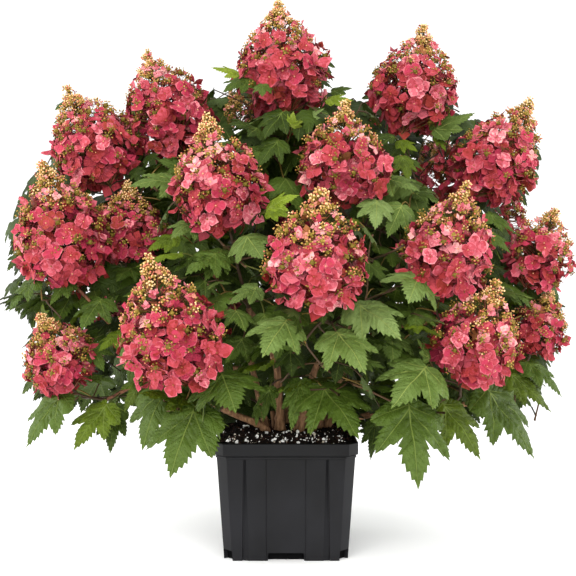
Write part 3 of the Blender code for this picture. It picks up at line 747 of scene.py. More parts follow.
def leaf_template(rng, deep, basal, wide, fine):
    """A lobed, coarsely toothed blade in the plane, base at the origin and tip
    at (0, 1), with quilted relief between sunk veins; fine is 2, 1 or 0.
    Returns verts (n, 3), triangles, 1 for the triangles on a main rib, each
    triangle's distance from the nearest side vein, and each vertex's distance
    from the nearest rib and place along it."""
    j = lambda s: float(rng.uniform(-s, s))
    coords, edges, ribs, veins = [], [], [], []

    def put(p):
        coords.append((float(p[0]), float(p[1])))
        return len(coords) - 1

    def line(points):
        ids = [put(p) for p in points]
        edges.extend(zip(ids[:-1], ids[1:]))

    halves = []
    for side in (1.0, -1.0):
        s1 = np.array([0.218 - 0.088 * deep + j(0.014), 0.60 - 0.15 * deep + j(0.02)])
        s2 = np.array([0.352 - 0.060 * deep + j(0.015), 0.335 - 0.030 * deep + j(0.02)])
        lat = np.array([0.405 + j(0.03), 0.630 + j(0.035)])
        bas = np.array([0.30 + 0.145 * basal + j(0.02), 0.17 + 0.03 * (1 - basal) + j(0.03)])
        foot = np.array([0.012, 0.004])
        tip = np.array([0.0, 1.0])
        lobes = (
            # ribs start, tip, envelope, teeth, their depth
            (np.array([0.0, 0.02]), tip,
             [s1, (0.172 + j(.01), 0.59), (0.166 + j(.012), 0.68), (0.120, 0.79),
              (0.052, 0.90), tip], 5, 0.042),
            (np.array([0.0, 0.085]), lat,
             [s1, s1 * 0.55 + lat * 0.45 + (0.002, 0.012), s1 * 0.2 + lat * 0.8
              + (0.000, 0.008), lat], 2, 0.026),
            (np.array([0.0, 0.085]), lat,
             [s2, s2 * 0.6 + lat * 0.4 + (0.040, -0.03), s2 * 0.25 + lat * 0.75
              + (0.034, -0.034), lat], 4, 0.036),
            (np.array([0.0, 0.035]), bas,
             [s2, s2 * 0.5 + bas * 0.5 + (0.014, 0.016), bas], 2, 0.020),
            (np.array([0.0, 0.035]), bas,
             [foot, (0.07, -0.050 * basal), (0.19, -0.062 * basal),
              (0.31 * (0.7 + 0.3 * basal), 0.000), bas * 0.92 + (0.0, -0.045), bas],
             4, 0.028),
        )
        outlines = []
        for k, (r0, r1, env, n, depth) in enumerate(lobes):
            curve = smooth_curve(env)
            rib = r1 - r0
            rib_len = np.linalg.norm(rib)
            rib_dir = rib / rib_len
            start = 0.34 if k == 4 else 0.0
            pts = [curve[0]]
            if start:
                pts += [at_length(curve, start * 0.35)[0], at_length(curve, start * 0.7)[0]]
            if fine == 0:
                n = max(1, n - 2) if k != 4 else 2
                depth *= 1.3
            teeth = []
            # teeth stop short of the lobe's drawn-out tip
            span = (0.80, 0.74, 0.84, 0.88, 0.92)[k] - start
            for i in range(n):
                a = start + span * (i + (0.22 if i else 0.08)) / n
                b = start + span * (i + 0.96) / n + j(0.006)
                # the outline falls back after each tooth
                notch, tn = at_length(curve, a)
                tooth, tt = at_length(curve, b)
                inward = lambda p, t: (np.array([-t[1], t[0]]) if np.dot(
                    np.array([-t[1], t[0]]),
                    (r0 + rib_dir * np.dot(p - r0, rib_dir)) - p) > 0
                    else np.array([t[1], -t[0]]))
                small = depth * (1.0 - 0.45 * i / n) * (1.0 if i % 2 == 0 else 0.74)
                if i or start:
                    pts.append(notch + inward(notch, tn) * small * 0.85)
                pts.append(tooth - inward(tooth, tt) * small * 0.45 + tt * small * 0.40)
                teeth.append(pts[-1])
            last, tl = at_length(curve, start + span + 0.03)
            pts.append(last + inward(last, tl) * depth * (0.34 if k < 3 else 0.2))
            if k < 3:
                last, tl = at_length(curve, 0.5 * (start + span + 1.0) + 0.02)
                pts.append(last + inward(last, tl) * depth * 0.10)
            pts.append(curve[-1])
            outlines.append([p * (side, 1.0) for p in pts])
            flip = np.array([side, 1.0])
            origins = []
            for t in teeth:
                along = np.dot(t - r0, rib_dir)
                off = np.linalg.norm(t - r0 - rib_dir * along)
                o = r0 + rib_dir * max(0.02, min(along - 0.75 * off, rib_len - 0.03))
                origins.append(o)
                veins.append((o * flip, t * flip))
                if fine == 2:
                    line([(o + (t - o) * f + (0.0, 0.006 * math.sin(math.pi * f)))
                          * flip for f in (0.12, 0.36, 0.62, 0.86)])
                else:
                    line([(o + (t - o) * f) * flip
                          for f in ((0.18, 0.74) if fine else (0.2, 0.7))])
            if fine:
                ends = [*origins, r1 - rib_dir * 0.03]
                for i in range(len(teeth)):
                    o = 0.5 * (ends[i] + ends[i + 1])
                    goal = teeth[i] * 0.45 + (teeth[i + 1] if i + 1 < len(teeth)
                                              else r1) * 0.55
                    for f in ((0.22, 0.48, 0.74) if fine == 2 else (0.45,)):
                        put((o + (goal - o) * f) * flip)
            if k in (0, 2, 4):
                ribs.append((r0 * flip, r1 * flip, 1.0 if k == 0 else 0.8))
        flip = np.array([side, 1.0])
        inner = (
            ((0.0, 0.16), (0.085, 0.245), (0.128, 0.345)),
            ((0.0, 0.25), (0.070, 0.330), tuple(s1 * 0.86)),
            ((0.0, 0.34), (0.065, 0.420), tuple(s1 * (0.80, 0.97))),
            ((0.0, 0.43), (0.075, 0.500), (0.125, 0.560)),
            ((0.110, 0.238), (0.160, 0.310), (0.165, 0.400)),
            ((0.070, 0.180), (0.160, 0.225), (0.235, 0.270)),
            ((0.120, 0.250), (0.215, 0.310), tuple(s2 * (0.90, 1.10))),
            ((0.180, 0.335), (0.270, 0.390), (0.320, 0.430)),
        )[:(0, 0, 8)[fine]]
        for path in inner:
            q = [(np.array(c) + rng.uniform(-0.006, 0.006, 2)) for c in path]
            q[0] = np.array(path[0]) + (0.011, 0.004)
            line([c * flip for c in q])
            veins.append((q[0] * flip, q[1] * flip))
            veins.append((q[1] * flip, q[2] * flip))
        halves.append(outlines)

    # one closed outline: right half up, left half down
    def chain(h):
        out = list(h[4])
        for part in (h[3][::-1], h[2], h[1][::-1], h[0]):
            out += list(part[1:])
        return out

    right, left = halves
    ring = chain(right)[:-1] + chain(left)[::-1][:-1] + [chain(left)[0]]
    clean = []
    for p in ring:
        if not clean or np.linalg.norm(p - clean[-1]) > 1e-4:
            clean.append(p)
    ids = [put(p) for p in clean]
    edges.extend(zip(ids, ids[1:] + ids[:1]))

    seen_ribs = []
    for r0, r1, w in ribs:
        if any(np.allclose(r1, q[1]) for q in seen_ribs):
            continue
        seen_ribs.append((r0, r1, w))
        d = (r1 - r0) / np.linalg.norm(r1 - r0)
        nrm = np.array([-d[1], d[0]])
        n = {2: 9 if w == 1.0 else 6, 1: 6 if w == 1.0 else 4, 0: 3}[fine]
        for sgn in ((1.0, -1.0) if fine else (0.0,)):
            line([r0 + (r1 - r0) * t + nrm * sgn * w * (0.0068 * (1 - t) + 0.0020)
                  for t in np.linspace(0.0, 0.965, n)])

    if fine:
        gap = 0.042 if fine == 2 else 0.085
        have = np.array(coords)
        for row in range(int(0.62 / gap)):
            for col in range(-int(0.36 / gap), int(0.36 / gap) + 1):
                q = np.array([(col + 0.5 * (row % 2)) * gap, 0.05 + row * gap * 0.9])
                q = q + rng.uniform(-0.006, 0.006, 2)
                if np.linalg.norm(have - q, axis=1).min() > gap * 0.52:
                    put(q)
    if area2(clean) < 0:
        ids = ids[::-1]
    out = delaunay_2d_cdt([Vector(c) for c in coords], edges, [ids], 1, 1e-5)
    v2 = np.array([(c[0], c[1]) for c in out[0]])
    tri = np.array([f[:3] for f in out[2] if len(f) == 3], np.int64)
    a, b, c = v2[tri[:, 0]], v2[tri[:, 1]], v2[tri[:, 2]]
    cross = (b[:, 0] - a[:, 0]) * (c[:, 1] - a[:, 1]) - (b[:, 1] - a[:, 1]) * (c[:, 0] - a[:, 0])
    tri[cross < 0] = tri[cross < 0][:, ::-1]
    tri = tri[np.abs(cross) > 1e-8]
    used = np.unique(tri)
    back = np.full(len(v2), -1)
    back[used] = np.arange(len(used))
    v2, tri = v2[used], back[tri]

    main = np.min([near_line(v2, r0, r1)[0] for r0, r1, _ in seen_ribs], 0)
    sec = np.min([near_line(v2, o, t)[0] for o, t in veins], 0)
    z = (-0.013 * np.exp(-(main / 0.022) ** 2) - 0.010 * np.exp(-(sec / 0.015) ** 2)
         + 0.014 * np.minimum(sec, 0.045) / 0.045
         + 0.005 * np.sin(v2[:, 0] * 31 + 1.0) * np.sin(v2[:, 1] * 27))
    mid = v2[tri].mean(1)
    on_rib = np.zeros(len(tri), np.int32)
    for r0, r1, w in seen_ribs:
        d, t = near_line(mid, r0, r1)
        on_rib |= (d < w * (0.0068 * (1 - t) + 0.0028)).astype(np.int32)
    v = np.column_stack([v2[:, 0] * wide, v2[:, 1], z])
    dist, along = np.full(len(v2), 9.0), np.zeros(len(v2))
    for k, (r0, r1, _) in enumerate(seen_ribs):
        d, t = near_line(v2, r0, r1)
        closer = d < dist
        dist = np.where(closer, d, dist)
        along = np.where(closer, t * np.linalg.norm(r1 - r0), along)
    return v, tri, on_rib, sec[tri].mean(1), np.column_stack([dist, along])


def area2(points):
    p = np.asarray(points)
    q = np.roll(p, -1, 0)
    return float(np.sum(p[:, 0] * q[:, 1] - q[:, 0] * p[:, 1]))


TR = np.random.default_rng(41)
LEAF_FORMS = ((0.80, 1.00, 1.00), (0.60, 1.00, 1.04), (1.00, 0.85, 0.97),
              (0.70, 0.60, 0.93), (0.45, 0.75, 0.93))
LEAF_KINDS = [[leaf_template(TR, *form, fine) for form in LEAF_FORMS]
              for fine in (0, 1, 2)]
for kind in LEAF_KINDS:
    print("leaf template:", [len(t[1]) for t in kind], "triangles")


def shape_leaf(template, base, tip, normal, width, droop, fold, twist, phase):
    """The template's points bent and set down from base to tip."""
    v = template[0]
    base, tip = np.asarray(base, float), np.asarray(tip, float)
    chord = tip - base
    span = float(np.linalg.norm(chord))
    c = chord / span
    n = np.asarray(normal, float)
    n = unit(n - c * (n @ c))
    side = np.cross(c, n)
    half = droop * 0.5
    # the midrib starts above the chord and ends below it
    d0 = c * math.cos(half) + n * math.sin(half)
    n0 = np.cross(side, d0)
    size = span * (half / math.sin(half) if half > 1e-3 else 1.0)
    x, y, z = v[:, 0] * width, v[:, 1], v[:, 2]
    r2 = (x / 0.45) ** 2
    z = (z - fold * 0.16 * r2 - 0.05 * fold * np.abs(x)
         + 0.016 * np.sin(9.0 * x + phase) * np.sin(7.0 * y + 1.7 * phase)
         + 0.010 * np.sin(17.0 * x - phase) * np.cos(15.0 * y + phase))
    a = twist * y
    x, z = x * np.cos(a) - z * np.sin(a), x * np.sin(a) + z * np.cos(a)
    th = droop * y
    if droop > 1e-3:
        py, pz = np.sin(th) / droop, (np.cos(th) - 1.0) / droop
    else:
        py, pz = y, 0.0 * y
    py, pz = py + z * np.sin(th), pz + z * np.cos(th)
    return base + size * (x[:, None] * side + py[:, None] * d0 + pz[:, None] * n0)


# --------------------------------------------------------------- the skeleton
class Skeleton:
    """Every point that a new shoot or leaf stalk can grow from."""

    def __init__(self):
        self.p, self.d, self.r = [], [], []
        self.np = None

    def add(self, points, radii):
        pts = np.asarray(points, float)
        d = unit(np.gradient(pts, axis=0))
        self.p += list(pts)
        self.d += list(d)
        self.r += list(radii)
        self.np = None

    def nearest(self, target, above=1.2, min_r=0.0):
        if self.np is None:
            self.np = (np.array(self.p), np.array(self.d), np.array(self.r))
        p, d, r = self.np
        way = np.asarray(target, float) - p
        dist = np.linalg.norm(way, axis=1)
        cost = dist + above * np.maximum(0.0, -way[:, 2] + 0.25 * dist)
        cost += 0.35 * dist * np.clip(-np.sum(way * d, 1) / np.maximum(dist, 1e-6), 0, 1)
        cost[r < min_r] += 10.0
        i = int(np.argmin(cost))
        return i, dist[i]


SK = Skeleton()
RNG = np.random.default_rng(2024)
TWIGS = []      # (points, radii, tint)

LIMB_MESH = Piece()
BOUGH_MESH = Piece()


def bark(points, radii, sides, rng, piece, foot, blunt):
    """A limb with long bark ridges, slightly swollen joints and a flared foot."""
    n = len(points)
    P, T, ring, R = rings_of(points[None], radii[None], sides)
    seg = np.linalg.norm(np.diff(points, axis=0), axis=1)
    s = np.concatenate([[0.0], np.cumsum(seg)])
    a = 2.0 * np.pi * np.arange(sides) / sides
    relief = np.zeros((n, sides))
    for _ in range(9):
        k = rng.integers(2, 9)
        relief += (rng.uniform(0.010, 0.030) * np.cos(k * a[None] + rng.uniform(0, 6.28)
                   + s[:, None] * rng.uniform(-30, 30)
                   + 0.8 * np.sin(s[:, None] * rng.uniform(60, 160) + rng.uniform(0, 6))))
    relief += rng.normal(0.0, 0.016, (n, sides))
    joint = 0.0
    at = rng.uniform(0.02, 0.05)
    while at < s[-1]:
        joint = joint + 0.22 * np.exp(-((s - at) / 0.0028) ** 2)
        at += rng.uniform(0.045, 0.075)
    r = R[0][:, None] * (1.0 + relief + (joint[:, None] if np.ndim(joint) else 0.0))
    if foot:
        lobes = 0.22 * np.cos(3 * a + rng.uniform(0, 6.28))[None]
        r = r * (1.0 + lobes * np.exp(-s / 0.010)[:, None])
    body = P[0][:, None, :] + ring[0] * r[:, :, None]
    if foot:
        body[0, :, 2] = points[0][2]
        body[1:, :, 2] = np.maximum(body[1:, :, 2], points[0][2] + 0.0002)
    verts = body.reshape(-1, 3)
    i = np.arange(sides)
    jn = (i + 1) % sides
    rows = (np.arange(n - 1) * sides)[:, None]
    a0, b0 = rows + i, rows + jn
    faces = [np.stack([a0, b0, b0 + sides], -1).reshape(-1, 3),
             np.stack([a0, b0 + sides, a0 + sides], -1).reshape(-1, 3)]
    ends = np.array([P[0, 0], P[0, -1] + T[0, -1] * R[0, -1] * (0.05 if blunt else 0.6)])
    top = n * sides
    faces.append(np.stack([jn, i, np.full(sides, top)], -1))
    faces.append(np.stack([(n - 1) * sides + i, (n - 1) * sides + jn,
                           np.full(sides, top + 1)], -1))
    piece.add(np.concatenate([verts, ends]), np.concatenate(faces), 0)


def build_limbs():
    rng = np.random.default_rng(7)
    for name, (path, r0, r1, n) in LIMB_AT.items():
        cane = name.startswith("cane")
        coarse = np.array(spline(path, n))
        length = np.sum(np.linalg.norm(np.diff(coarse, axis=0), axis=1))
        fine = np.array(spline(path, max(24, int(length / (0.0030 if cane else 0.0040)))))
        t = np.linspace(0.0, 1.0, len(fine))
        radii = r0 + (r1 - r0) * t
        if cane:
            radii = radii * (1.0 + 0.55 * np.exp(-(fine[:, 2] - fine[0, 2]) / 0.010))
        # a slight kink at each joint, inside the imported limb's own thickness
        wob = np.stack([np.sin(t * 37 + rng.uniform(0, 6)), np.sin(t * 29 + rng.uniform(0, 6)),
                        np.zeros_like(t)], 1) * 0.0006 * np.minimum(1, t * 4)[:, None]
        fine = fine + wob
        bark(fine, radii, 16 if cane else 12, rng,
             LIMB_MESH if cane else BOUGH_MESH, cane, False)
        SK.add(fine[:: 2], radii[:: 2])


def cut_stub(foot, top, r, rng):
    """An old cane cut short, with a blunt end."""
    pts = np.array(spline([Vector(foot), Vector((np.array(foot) * 0.5
                    + np.array(top) * 0.5).tolist()), Vector(top)], 16))
    radii = r * (1.0 + 0.5 * np.exp(-(pts[:, 2] - pts[0, 2]) / 0.008)) * np.linspace(1, .9, 17)
    bark(pts, radii, 14, rng, LIMB_MESH, True, True)


build_limbs()
_r = np.random.default_rng(5)
cut_stub((0.030, -0.030, SOIL_Z), (0.037, -0.034, 0.2440), 0.0056, _r)
cut_stub((-0.020, -0.010, SOIL_Z), (-0.024, -0.014, 0.2360), 0.0040, _r)
cut_stub((0.070, 0.004, SOIL_Z), (0.088, -0.004, 0.2290), 0.0070, _r)


FRONT = None        # the front view's depth grid, filled in once the heads stand


def grow(target, end_dir, r_end, tint, above=1.2, reach=0.35, stiff=0.55, min_r=0.0):
    """A shoot from the nearest point of the skeleton to target."""
    target = np.asarray(target, float)
    i, dist = SK.nearest(target, above, min_r)
    if dist < 0.012:
        return None
    p0, d0, r0 = np.array(SK.p[i]), np.array(SK.d[i]), SK.r[i]
    way = (target - p0) / dist
    d = unit(d0 * stiff + way * (1.0 - stiff) + np.array([0.0, 0.0, 0.15]))
    n = max(6, int(dist / 0.010))
    e = unit(np.asarray(end_dir, float))
    pts = hermite(p0, d * dist * 0.9, target, e * dist * reach * 2.0, n)
    length = np.sum(np.linalg.norm(np.diff(pts, axis=0), axis=1))
    t = np.linspace(0.0, 1.0, n)
    sway = RNG.normal(0.0, 1.0, (3, 3))
    bend = np.zeros_like(pts)
    for k in range(3):
        bend += np.sin(np.pi * (k + 1) * t)[:, None] * sway[k] * 0.010 * length / (k + 1)
    pts = pts + bend
    if FRONT is not None:
        pts = keep_inside(tuck(pts))
    r_start = min(r0 * 0.85, r_end + 0.010 * length)
    r_start = max(r_start, r_end)
    radii = r_start + (r_end - r_start) * t
    radii[0] *= 1.25
    TWIGS.append((pts, radii, tint))
    SK.add(pts[1:], radii[1:])
    return pts


# the flower heads' stalks, the lowest and innermost first
HEAD_STALKS = {}
for name in sorted(HEAD_AT, key=lambda n: HEAD_AT[n][1].length):
    tip, base, wide = HEAD_AT[name]
    axis = (tip - base).normalized()
    goal = np.array(base) - np.array(axis) * 0.002
    HEAD_STALKS[name] = grow(goal, axis, 0.0021, 3, above=1.6, stiff=0.5, min_r=0.0022)

# ---------------------------------------------------------------- the masks
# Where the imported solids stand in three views: leaves stay inside them.
GRID = 288


def hull2(points):
    pts = sorted(map(tuple, points))
    out = []
    for seq in (pts, pts[::-1]):
        part = []
        for p in seq:
            while len(part) > 1 and ((part[-1][0] - part[-2][0]) * (p[1] - part[-2][1])
                                     - (part[-1][1] - part[-2][1]) * (p[0] - part[-2][0])) <= 0:
                part.pop()
            part.append(p)
        out += part[:-1]
    return np.array(out)


def fill(mask, poly, grow_px=0.0):
    """Mark the grid cells inside a convex polygon given in cell units."""
    c = poly.mean(0)
    if grow_px:
        d = poly - c
        poly = c + d * (1.0 + grow_px / np.maximum(np.linalg.norm(d, axis=1), 1e-6))[:, None]
    lo = np.clip(np.floor(poly.min(0)).astype(int), 0, GRID - 1)
    hi = np.clip(np.ceil(poly.max(0)).astype(int) + 1, 1, GRID)
    xs, ys = np.meshgrid(np.arange(lo[0], hi[0]), np.arange(lo[1], hi[1]))
    inside = np.ones(xs.shape, bool)
    q = np.roll(poly, -1, 0)
    for a, b in zip(poly, q):
        inside &= ((b[0] - a[0]) * (ys - a[1]) - (b[1] - a[1]) * (xs - a[0])) >= 0
    mask[ys[inside], xs[inside]] = True


def to_front(v):
    s = EYE_F / (v[:, 1] + EYE_BACK)
    return np.column_stack([286.0 + v[:, 0] * s, 288.0 + (EYE_Z - v[:, 2]) * s]) * 0.5


def to_side(v):
    return np.column_stack([(v[:, 1] + 0.55) * 262.0, (1.02 - v[:, 2]) * 262.0])


def to_top(v):
    return np.column_stack([(v[:, 0] + 0.55) * 262.0, (v[:, 1] + 0.55) * 262.0])


VIEWS = (to_front, to_side, to_top)
MASKS = [np.zeros((GRID, GRID), bool) for _ in VIEWS]
for name, obj in NODES.items():
    if name.startswith(("foliage_", "head_")):
        co = np.array([v.co for v in obj.data.vertices], float)
        for mask, view in zip(MASKS, VIEWS):
            fill(mask, hull2(view(co)), 2.0)

# small openings that stay free of leaves: column, row, half width, half height
OPENINGS = ((106, 386, 6, 5), (116, 396, 4, 4), (95, 322, 6, 6), (430, 139, 4, 4),
            (499, 373, 7, 6), (8, 345, 20, 33), (572, 245, 9, 40), (572, 340, 9, 30),
            (152, 142, 11, 9))
_row, _col = np.mgrid[0:GRID, 0:GRID]
for u, v, ru, rv in OPENINGS:
    MASKS[0][((_col * 2 - u) / ru) ** 2 + ((_row * 2 - v) / rv) ** 2 < 1.0] = False

# the skirt's free-hanging tips show white between them: column, lowest row
SKIRT = ((0, 322), (8, 330), (20, 392), (40, 402), (60, 406), (92, 418), (128, 410),
         (150, 424), (200, 436), (225, 440), (400, 440), (440, 432), (470, 428),
         (496, 410), (520, 420), (545, 392), (560, 368), (576, 300))
MASKS[0][_row * 2 > np.interp(_col * 2, *np.array(SKIRT).T)] = False
# and the top keeps below the outline of the heads
CROWN = ((0, 235), (16, 205), (26, 172), (46, 166), (56, 100), (66, 95), (86, 106), (106, 122),
         (126, 128), (134, 100), (146, 62), (166, 68), (186, 84), (206, 92), (226, 80),
         (246, 50), (262, 22), (276, 12), (296, 20), (316, 44), (336, 68), (352, 100),
         (364, 100), (370, 74), (396, 52), (416, 38), (436, 44), (448, 78), (458, 100),
         (470, 122), (500, 118), (536, 110), (541, 160), (546, 212), (566, 222), (576, 240))
MASKS[0][_row * 2 < np.interp(_col * 2, *np.array(CROWN).T)] = False
# behind the canes the crown is closed too
MASKS[0][193:213, 113:181] = True

# what leaves, flowers and canes already close off in each view
COVERED = [np.zeros((GRID * k, GRID * k), bool) for k in (2, 1, 1)]


def cover(points):
    for k, hit, view in zip((2, 1, 1), COVERED, VIEWS):
        px = np.clip(np.rint(view(points) * k).astype(int), 0, GRID * k - 1)
        hit[px[:, 1], px[:, 0]] = True


def spots(n):
    """Even barycentric spots in a triangle, n to a side."""
    out = [(i / n, j / n, 1.0 - (i + j) / n) for i in range(n + 1) for j in range(n + 1 - i)]
    return np.array(out)


# the nearest thing that must stay in view, by column and row of the front view
FRONT = np.full((GRID, GRID), 9.0)


def stamp(verts, spread=1):
    """Record the depth of something that leaves may not hide."""
    px = np.rint(to_front(verts)).astype(int)
    for dx in range(-spread, spread + 1):
        for dy in range(-spread, spread + 1):
            x = np.clip(px[:, 0] + dx, 0, GRID - 1)
            y = np.clip(px[:, 1] + dy, 0, GRID - 1)
            np.minimum.at(FRONT, (y, x), verts[:, 1])


HEAD_PROFILE = ((0.00, 0.30), (0.06, 0.72), (0.20, 0.98), (0.36, 1.00),
                (0.54, 0.86), (0.70, 0.62), (0.84, 0.40), (0.95, 0.22), (1.0, 0.08))
PT, PR = np.array(HEAD_PROFILE).T
# the florets' outline, from the base to the tip
SHAPE = ((0.00, 0.20), (0.06, 0.42), (0.12, 0.70), (0.21, 0.90), (0.34, 0.97), (0.46, 0.92),
         (0.60, 0.79), (0.72, 0.61), (0.82, 0.39), (0.90, 0.22), (0.96, 0.14), (1.0, 0.06))
ST, SR = np.array(SHAPE).T
HEADS_NP = {}
# small late panicles between the big heads: tip, base, width as in HEADS
LATE = {"late_panicle_1": (231, 90, 0.075, 243, 126, 0.065, 36)}
for name, (tu, tv, ty, bu, bv, by, wide) in LATE.items():
    HEAD_AT[name] = (seen(tu, tv, ty), seen(bu, bv, by),
                     wide * (0.5 * (ty + by) + EYE_BACK) / EYE_F)
for name, (tip, base, wide) in HEAD_AT.items():
    tip, base = np.array(tip), np.array(base)
    length = np.linalg.norm(tip - base)
    axis = (tip - base) / length
    side = unit(np.cross(axis, (0.0, 1.0, 0.0)))
    other = np.cross(axis, side)
    HEADS_NP[name] = (base, axis, side, other, length, wide * 0.5)
    t = np.linspace(0.0, 0.97, 90)
    a = np.linspace(0.0, 2 * np.pi, 150, endpoint=False)
    T, A = np.meshgrid(t, a)
    T, A = T.ravel(), A.ravel()
    for frac in (0.1, 0.3, 0.5, 0.64):
        R = np.interp(T, ST, SR) * wide * 0.5 * frac
        pts = (base + axis * (T * length)[:, None]
               + (np.cos(A) * R)[:, None] * side + (np.sin(A) * R)[:, None] * other)
        # leaves stand behind the thin tips, but not behind those against the sky
        inner = to_front(tip[None])[0] * 2.0
        clear = inner[1] > np.interp(inner[0], *np.array(CROWN).T) + 45 and inner[0] > 70
        cover(pts[T < 0.60] if clear else pts)
        if not name.startswith("head_rear"):
            stamp(pts)
for path, _, _, n in LIMB_AT.values():
    low = np.array([p for p in spline(path, 40)])
    cover(low)
    low = low[(low[:, 2] < 0.262) & (low[:, 1] < 0.03)]
    if len(low):
        stamp(low)


def in_heads(v, shrink):
    """Which points lie inside a flower head."""
    hit = np.zeros(len(v), bool)
    for base, axis, _, _, length, half in HEADS_NP.values():
        w = v - base
        t = w @ axis / length
        d = np.linalg.norm(w - (t * length)[:, None] * axis, axis=1)
        hit |= (t > -0.02) & (t < 1.0) & (d < np.interp(t, PT, PR) * half * shrink)
    return hit


# ------------------------------------------------------------------- leaves
# Leaves seen well from the front: base column, row, depth; tip column, row,
# depth; width, droop, tint, lean of the blade to the side.
KEY_LEAVES = (
    # left flank
    (37, 277, -.10, 9, 313, -.12, .85, .7, 3, -.2),
    (69, 281, -.09, 50, 306, -.12, .9, .6, 2, 0),
    (102, 299, -.11, 81, 331, -.16, 1.15, .5, 2, 0),
    (43, 316, -.08, 43, 303, -.09, 1.3, .3, 6, 0),
    (63, 392, -.10, 26, 449, -.14, .95, .5, 3, -.1),
    (108, 404, -.11, 74, 451, -.15, .95, .5, 8, -.1),
    (166, 386, -.20, 142, 451, -.26, 1.0, .5, 3, -.1),
    (92, 345, -.10, 104, 372, -.13, 1.0, .4, 2, 0),
    (150, 372, -.14, 124, 412, -.17, .9, .5, 8, 0),
    (116, 404, -.09, 110, 455, -.12, .75, .5, 2, .2),
    (121, 333, -.12, 98, 352, -.15, 1.1, .4, 6, 0),
    (134, 335, -.14, 119, 361, -.16, .7, .5, 4, 0),
    (139, 347, -.15, 129, 386, -.19, .75, .5, 2, 0),
    (88, 377, -.09, 114, 382, -.10, .5, .4, 3, 0),
    # front left skirt
    (196, 406, -.25, 170, 479, -.32, 1.15, .5, 2, -.1),
    (192, 402, -.22, 138, 394, -.27, .75, .6, 8, 0),
    (221, 373, -.26, 236, 414, -.32, 1.45, .7, 3, .1),
    # upper left
    (218, 253, -.17, 185, 276, -.22, 1.15, .5, 3, 0),
    (195, 221, -.14, 171, 239, -.18, 1.2, .5, 4, 0),
    (176, 236, -.10, 147, 252, -.13, .9, .4, 6, 0),
    (183, 181, -.08, 128, 188, -.13, .95, .6, 4, 0),
    (187, 170, -.02, 157, 160, -.03, .95, .4, 3, 0),
    (183, 197, -.12, 166, 191, -.14, .7, .4, 5, 0),
    # top
    (242, 76, .00, 210, 68, -.02, .85, .5, 7, 0),
    (250, 79, -.02, 222, 93, -.06, .85, .5, 3, 0),
    (263, 84, -.06, 262, 97, -.08, 1.2, .4, 3, 0),
    (332, 92, .02, 354, 88, .02, .8, .5, 3, 0),
    (327, 100, .0, 354, 101, -.01, .7, .5, 7, 0),
    (292, 127, -.06, 294, 111, -.08, 1.4, .5, 7, 0),
    (304, 122, -.03, 325, 108, -.04, .8, .4, 5, 0),
    (259, 130, -.07, 228, 125, -.12, .9, .5, 1, 0),
    (283, 112, -.04, 262, 142, -.08, .9, .5, 1, 0),
    (279, 140, -.06, 258, 167, -.10, .95, .5, 2, 0),
    (267, 209, -.19, 300, 195, -.21, .85, .5, 7, 0),
    (268, 212, -.20, 293, 218, -.23, .75, .5, 6, 0),
    # upper right
    (377, 200, -.15, 375, 230, -.19, 1.05, .5, 5, 0),
    (402, 205, -.14, 387, 238, -.17, .95, .5, 4, 0),
    (385, 178, -.10, 420, 192, -.14, 1.1, .5, 5, 0),
    (402, 156, -.05, 409, 182, -.08, .95, .5, 6, 0),
    (405, 158, -.03, 424, 171, -.05, .8, .4, 3, 0),
    (399, 141, .00, 418, 152, -.02, .9, .4, 6, 0),
    (433, 131, .03, 476, 113, .02, .7, .3, 4, 0),
    (437, 136, .04, 446, 152, .02, .7, .3, 6, 0),
    (394, 137, -.02, 371, 139, -.03, .9, .4, 1, 0),
    (414, 193, -.08, 439, 200, -.10, .8, .4, 2, 0),
    (488, 214, -.08, 519, 237, -.10, .7, .4, 2, 0),
    (486, 232, -.10, 511, 254, -.12, .7, .4, 3, 0),
    # right of centre
    (367, 262, -.18, 388, 284, -.20, .95, .4, 3, 0),
    (419, 275, -.21, 408, 304, -.27, 1.55, .6, 5, 0),
    (356, 303, -.23, 402, 341, -.30, 1.0, .5, 5, .1),
    (427, 366, -.24, 391, 409, -.31, 1.1, .5, 4, -.1),
    (429, 359, -.23, 416, 338, -.25, .7, .4, 4, 0),
    (408, 403, -.25, 418, 490, -.33, .98, .5, 2, 0),
    (441, 402, -.21, 481, 461, -.25, .9, .5, 8, 0),
    (485, 388, -.14, 534, 461, -.19, .95, .5, 2, .1),
    (507, 373, -.08, 551, 414, -.11, .8, .7, 8, 0),
    (526, 362, -.06, 562, 398, -.09, .75, .8, 3, 0),
    (456, 384, -.14, 478, 415, -.17, .9, .4, 1, 0),
    # centre
    (287, 320, -.28, 262, 358, -.34, 1.25, .5, 5, 0),
    (336, 331, -.27, 366, 375, -.34, 1.1, .5, 4, .1),
    (321, 386, -.20, 359, 440, -.29, 1.05, .5, 3, .1),
    (301, 380, -.19, 291, 432, -.24, .6, .4, 3, -.2),
    (270, 387, -.18, 263, 422, -.21, .65, .4, 2, 0),
    (258, 405, -.14, 256, 427, -.15, .6, .3, 3, 0),
    (376, 420, -.11, 370, 461, -.14, .65, .4, 1, 0),
    (258, 287, -.19, 228, 305, -.22, .9, .5, 5, 0),
    (246, 236, -.18, 263, 260, -.22, 1.35, .5, 5, 0),
    (222, 250, -.16, 205, 282, -.20, .95, .5, 3, 0),
    (321, 304, -.27, 323, 325, -.29, 1.4, .4, 2, 0),
    (290, 349, -.22, 292, 378, -.25, 1.2, .4, 1, 0),
    (340, 358, -.22, 335, 384, -.24, 1.4, .4, 1, 0),
)

LEAF_PIECES = {"leaves_front": Piece(), "leaves_left": Piece(), "leaves_right": Piece(),
               "leaves_rear": Piece()}
LEAF_COUNT = [0, 0]
PETIOLES = []
CENTRES = []


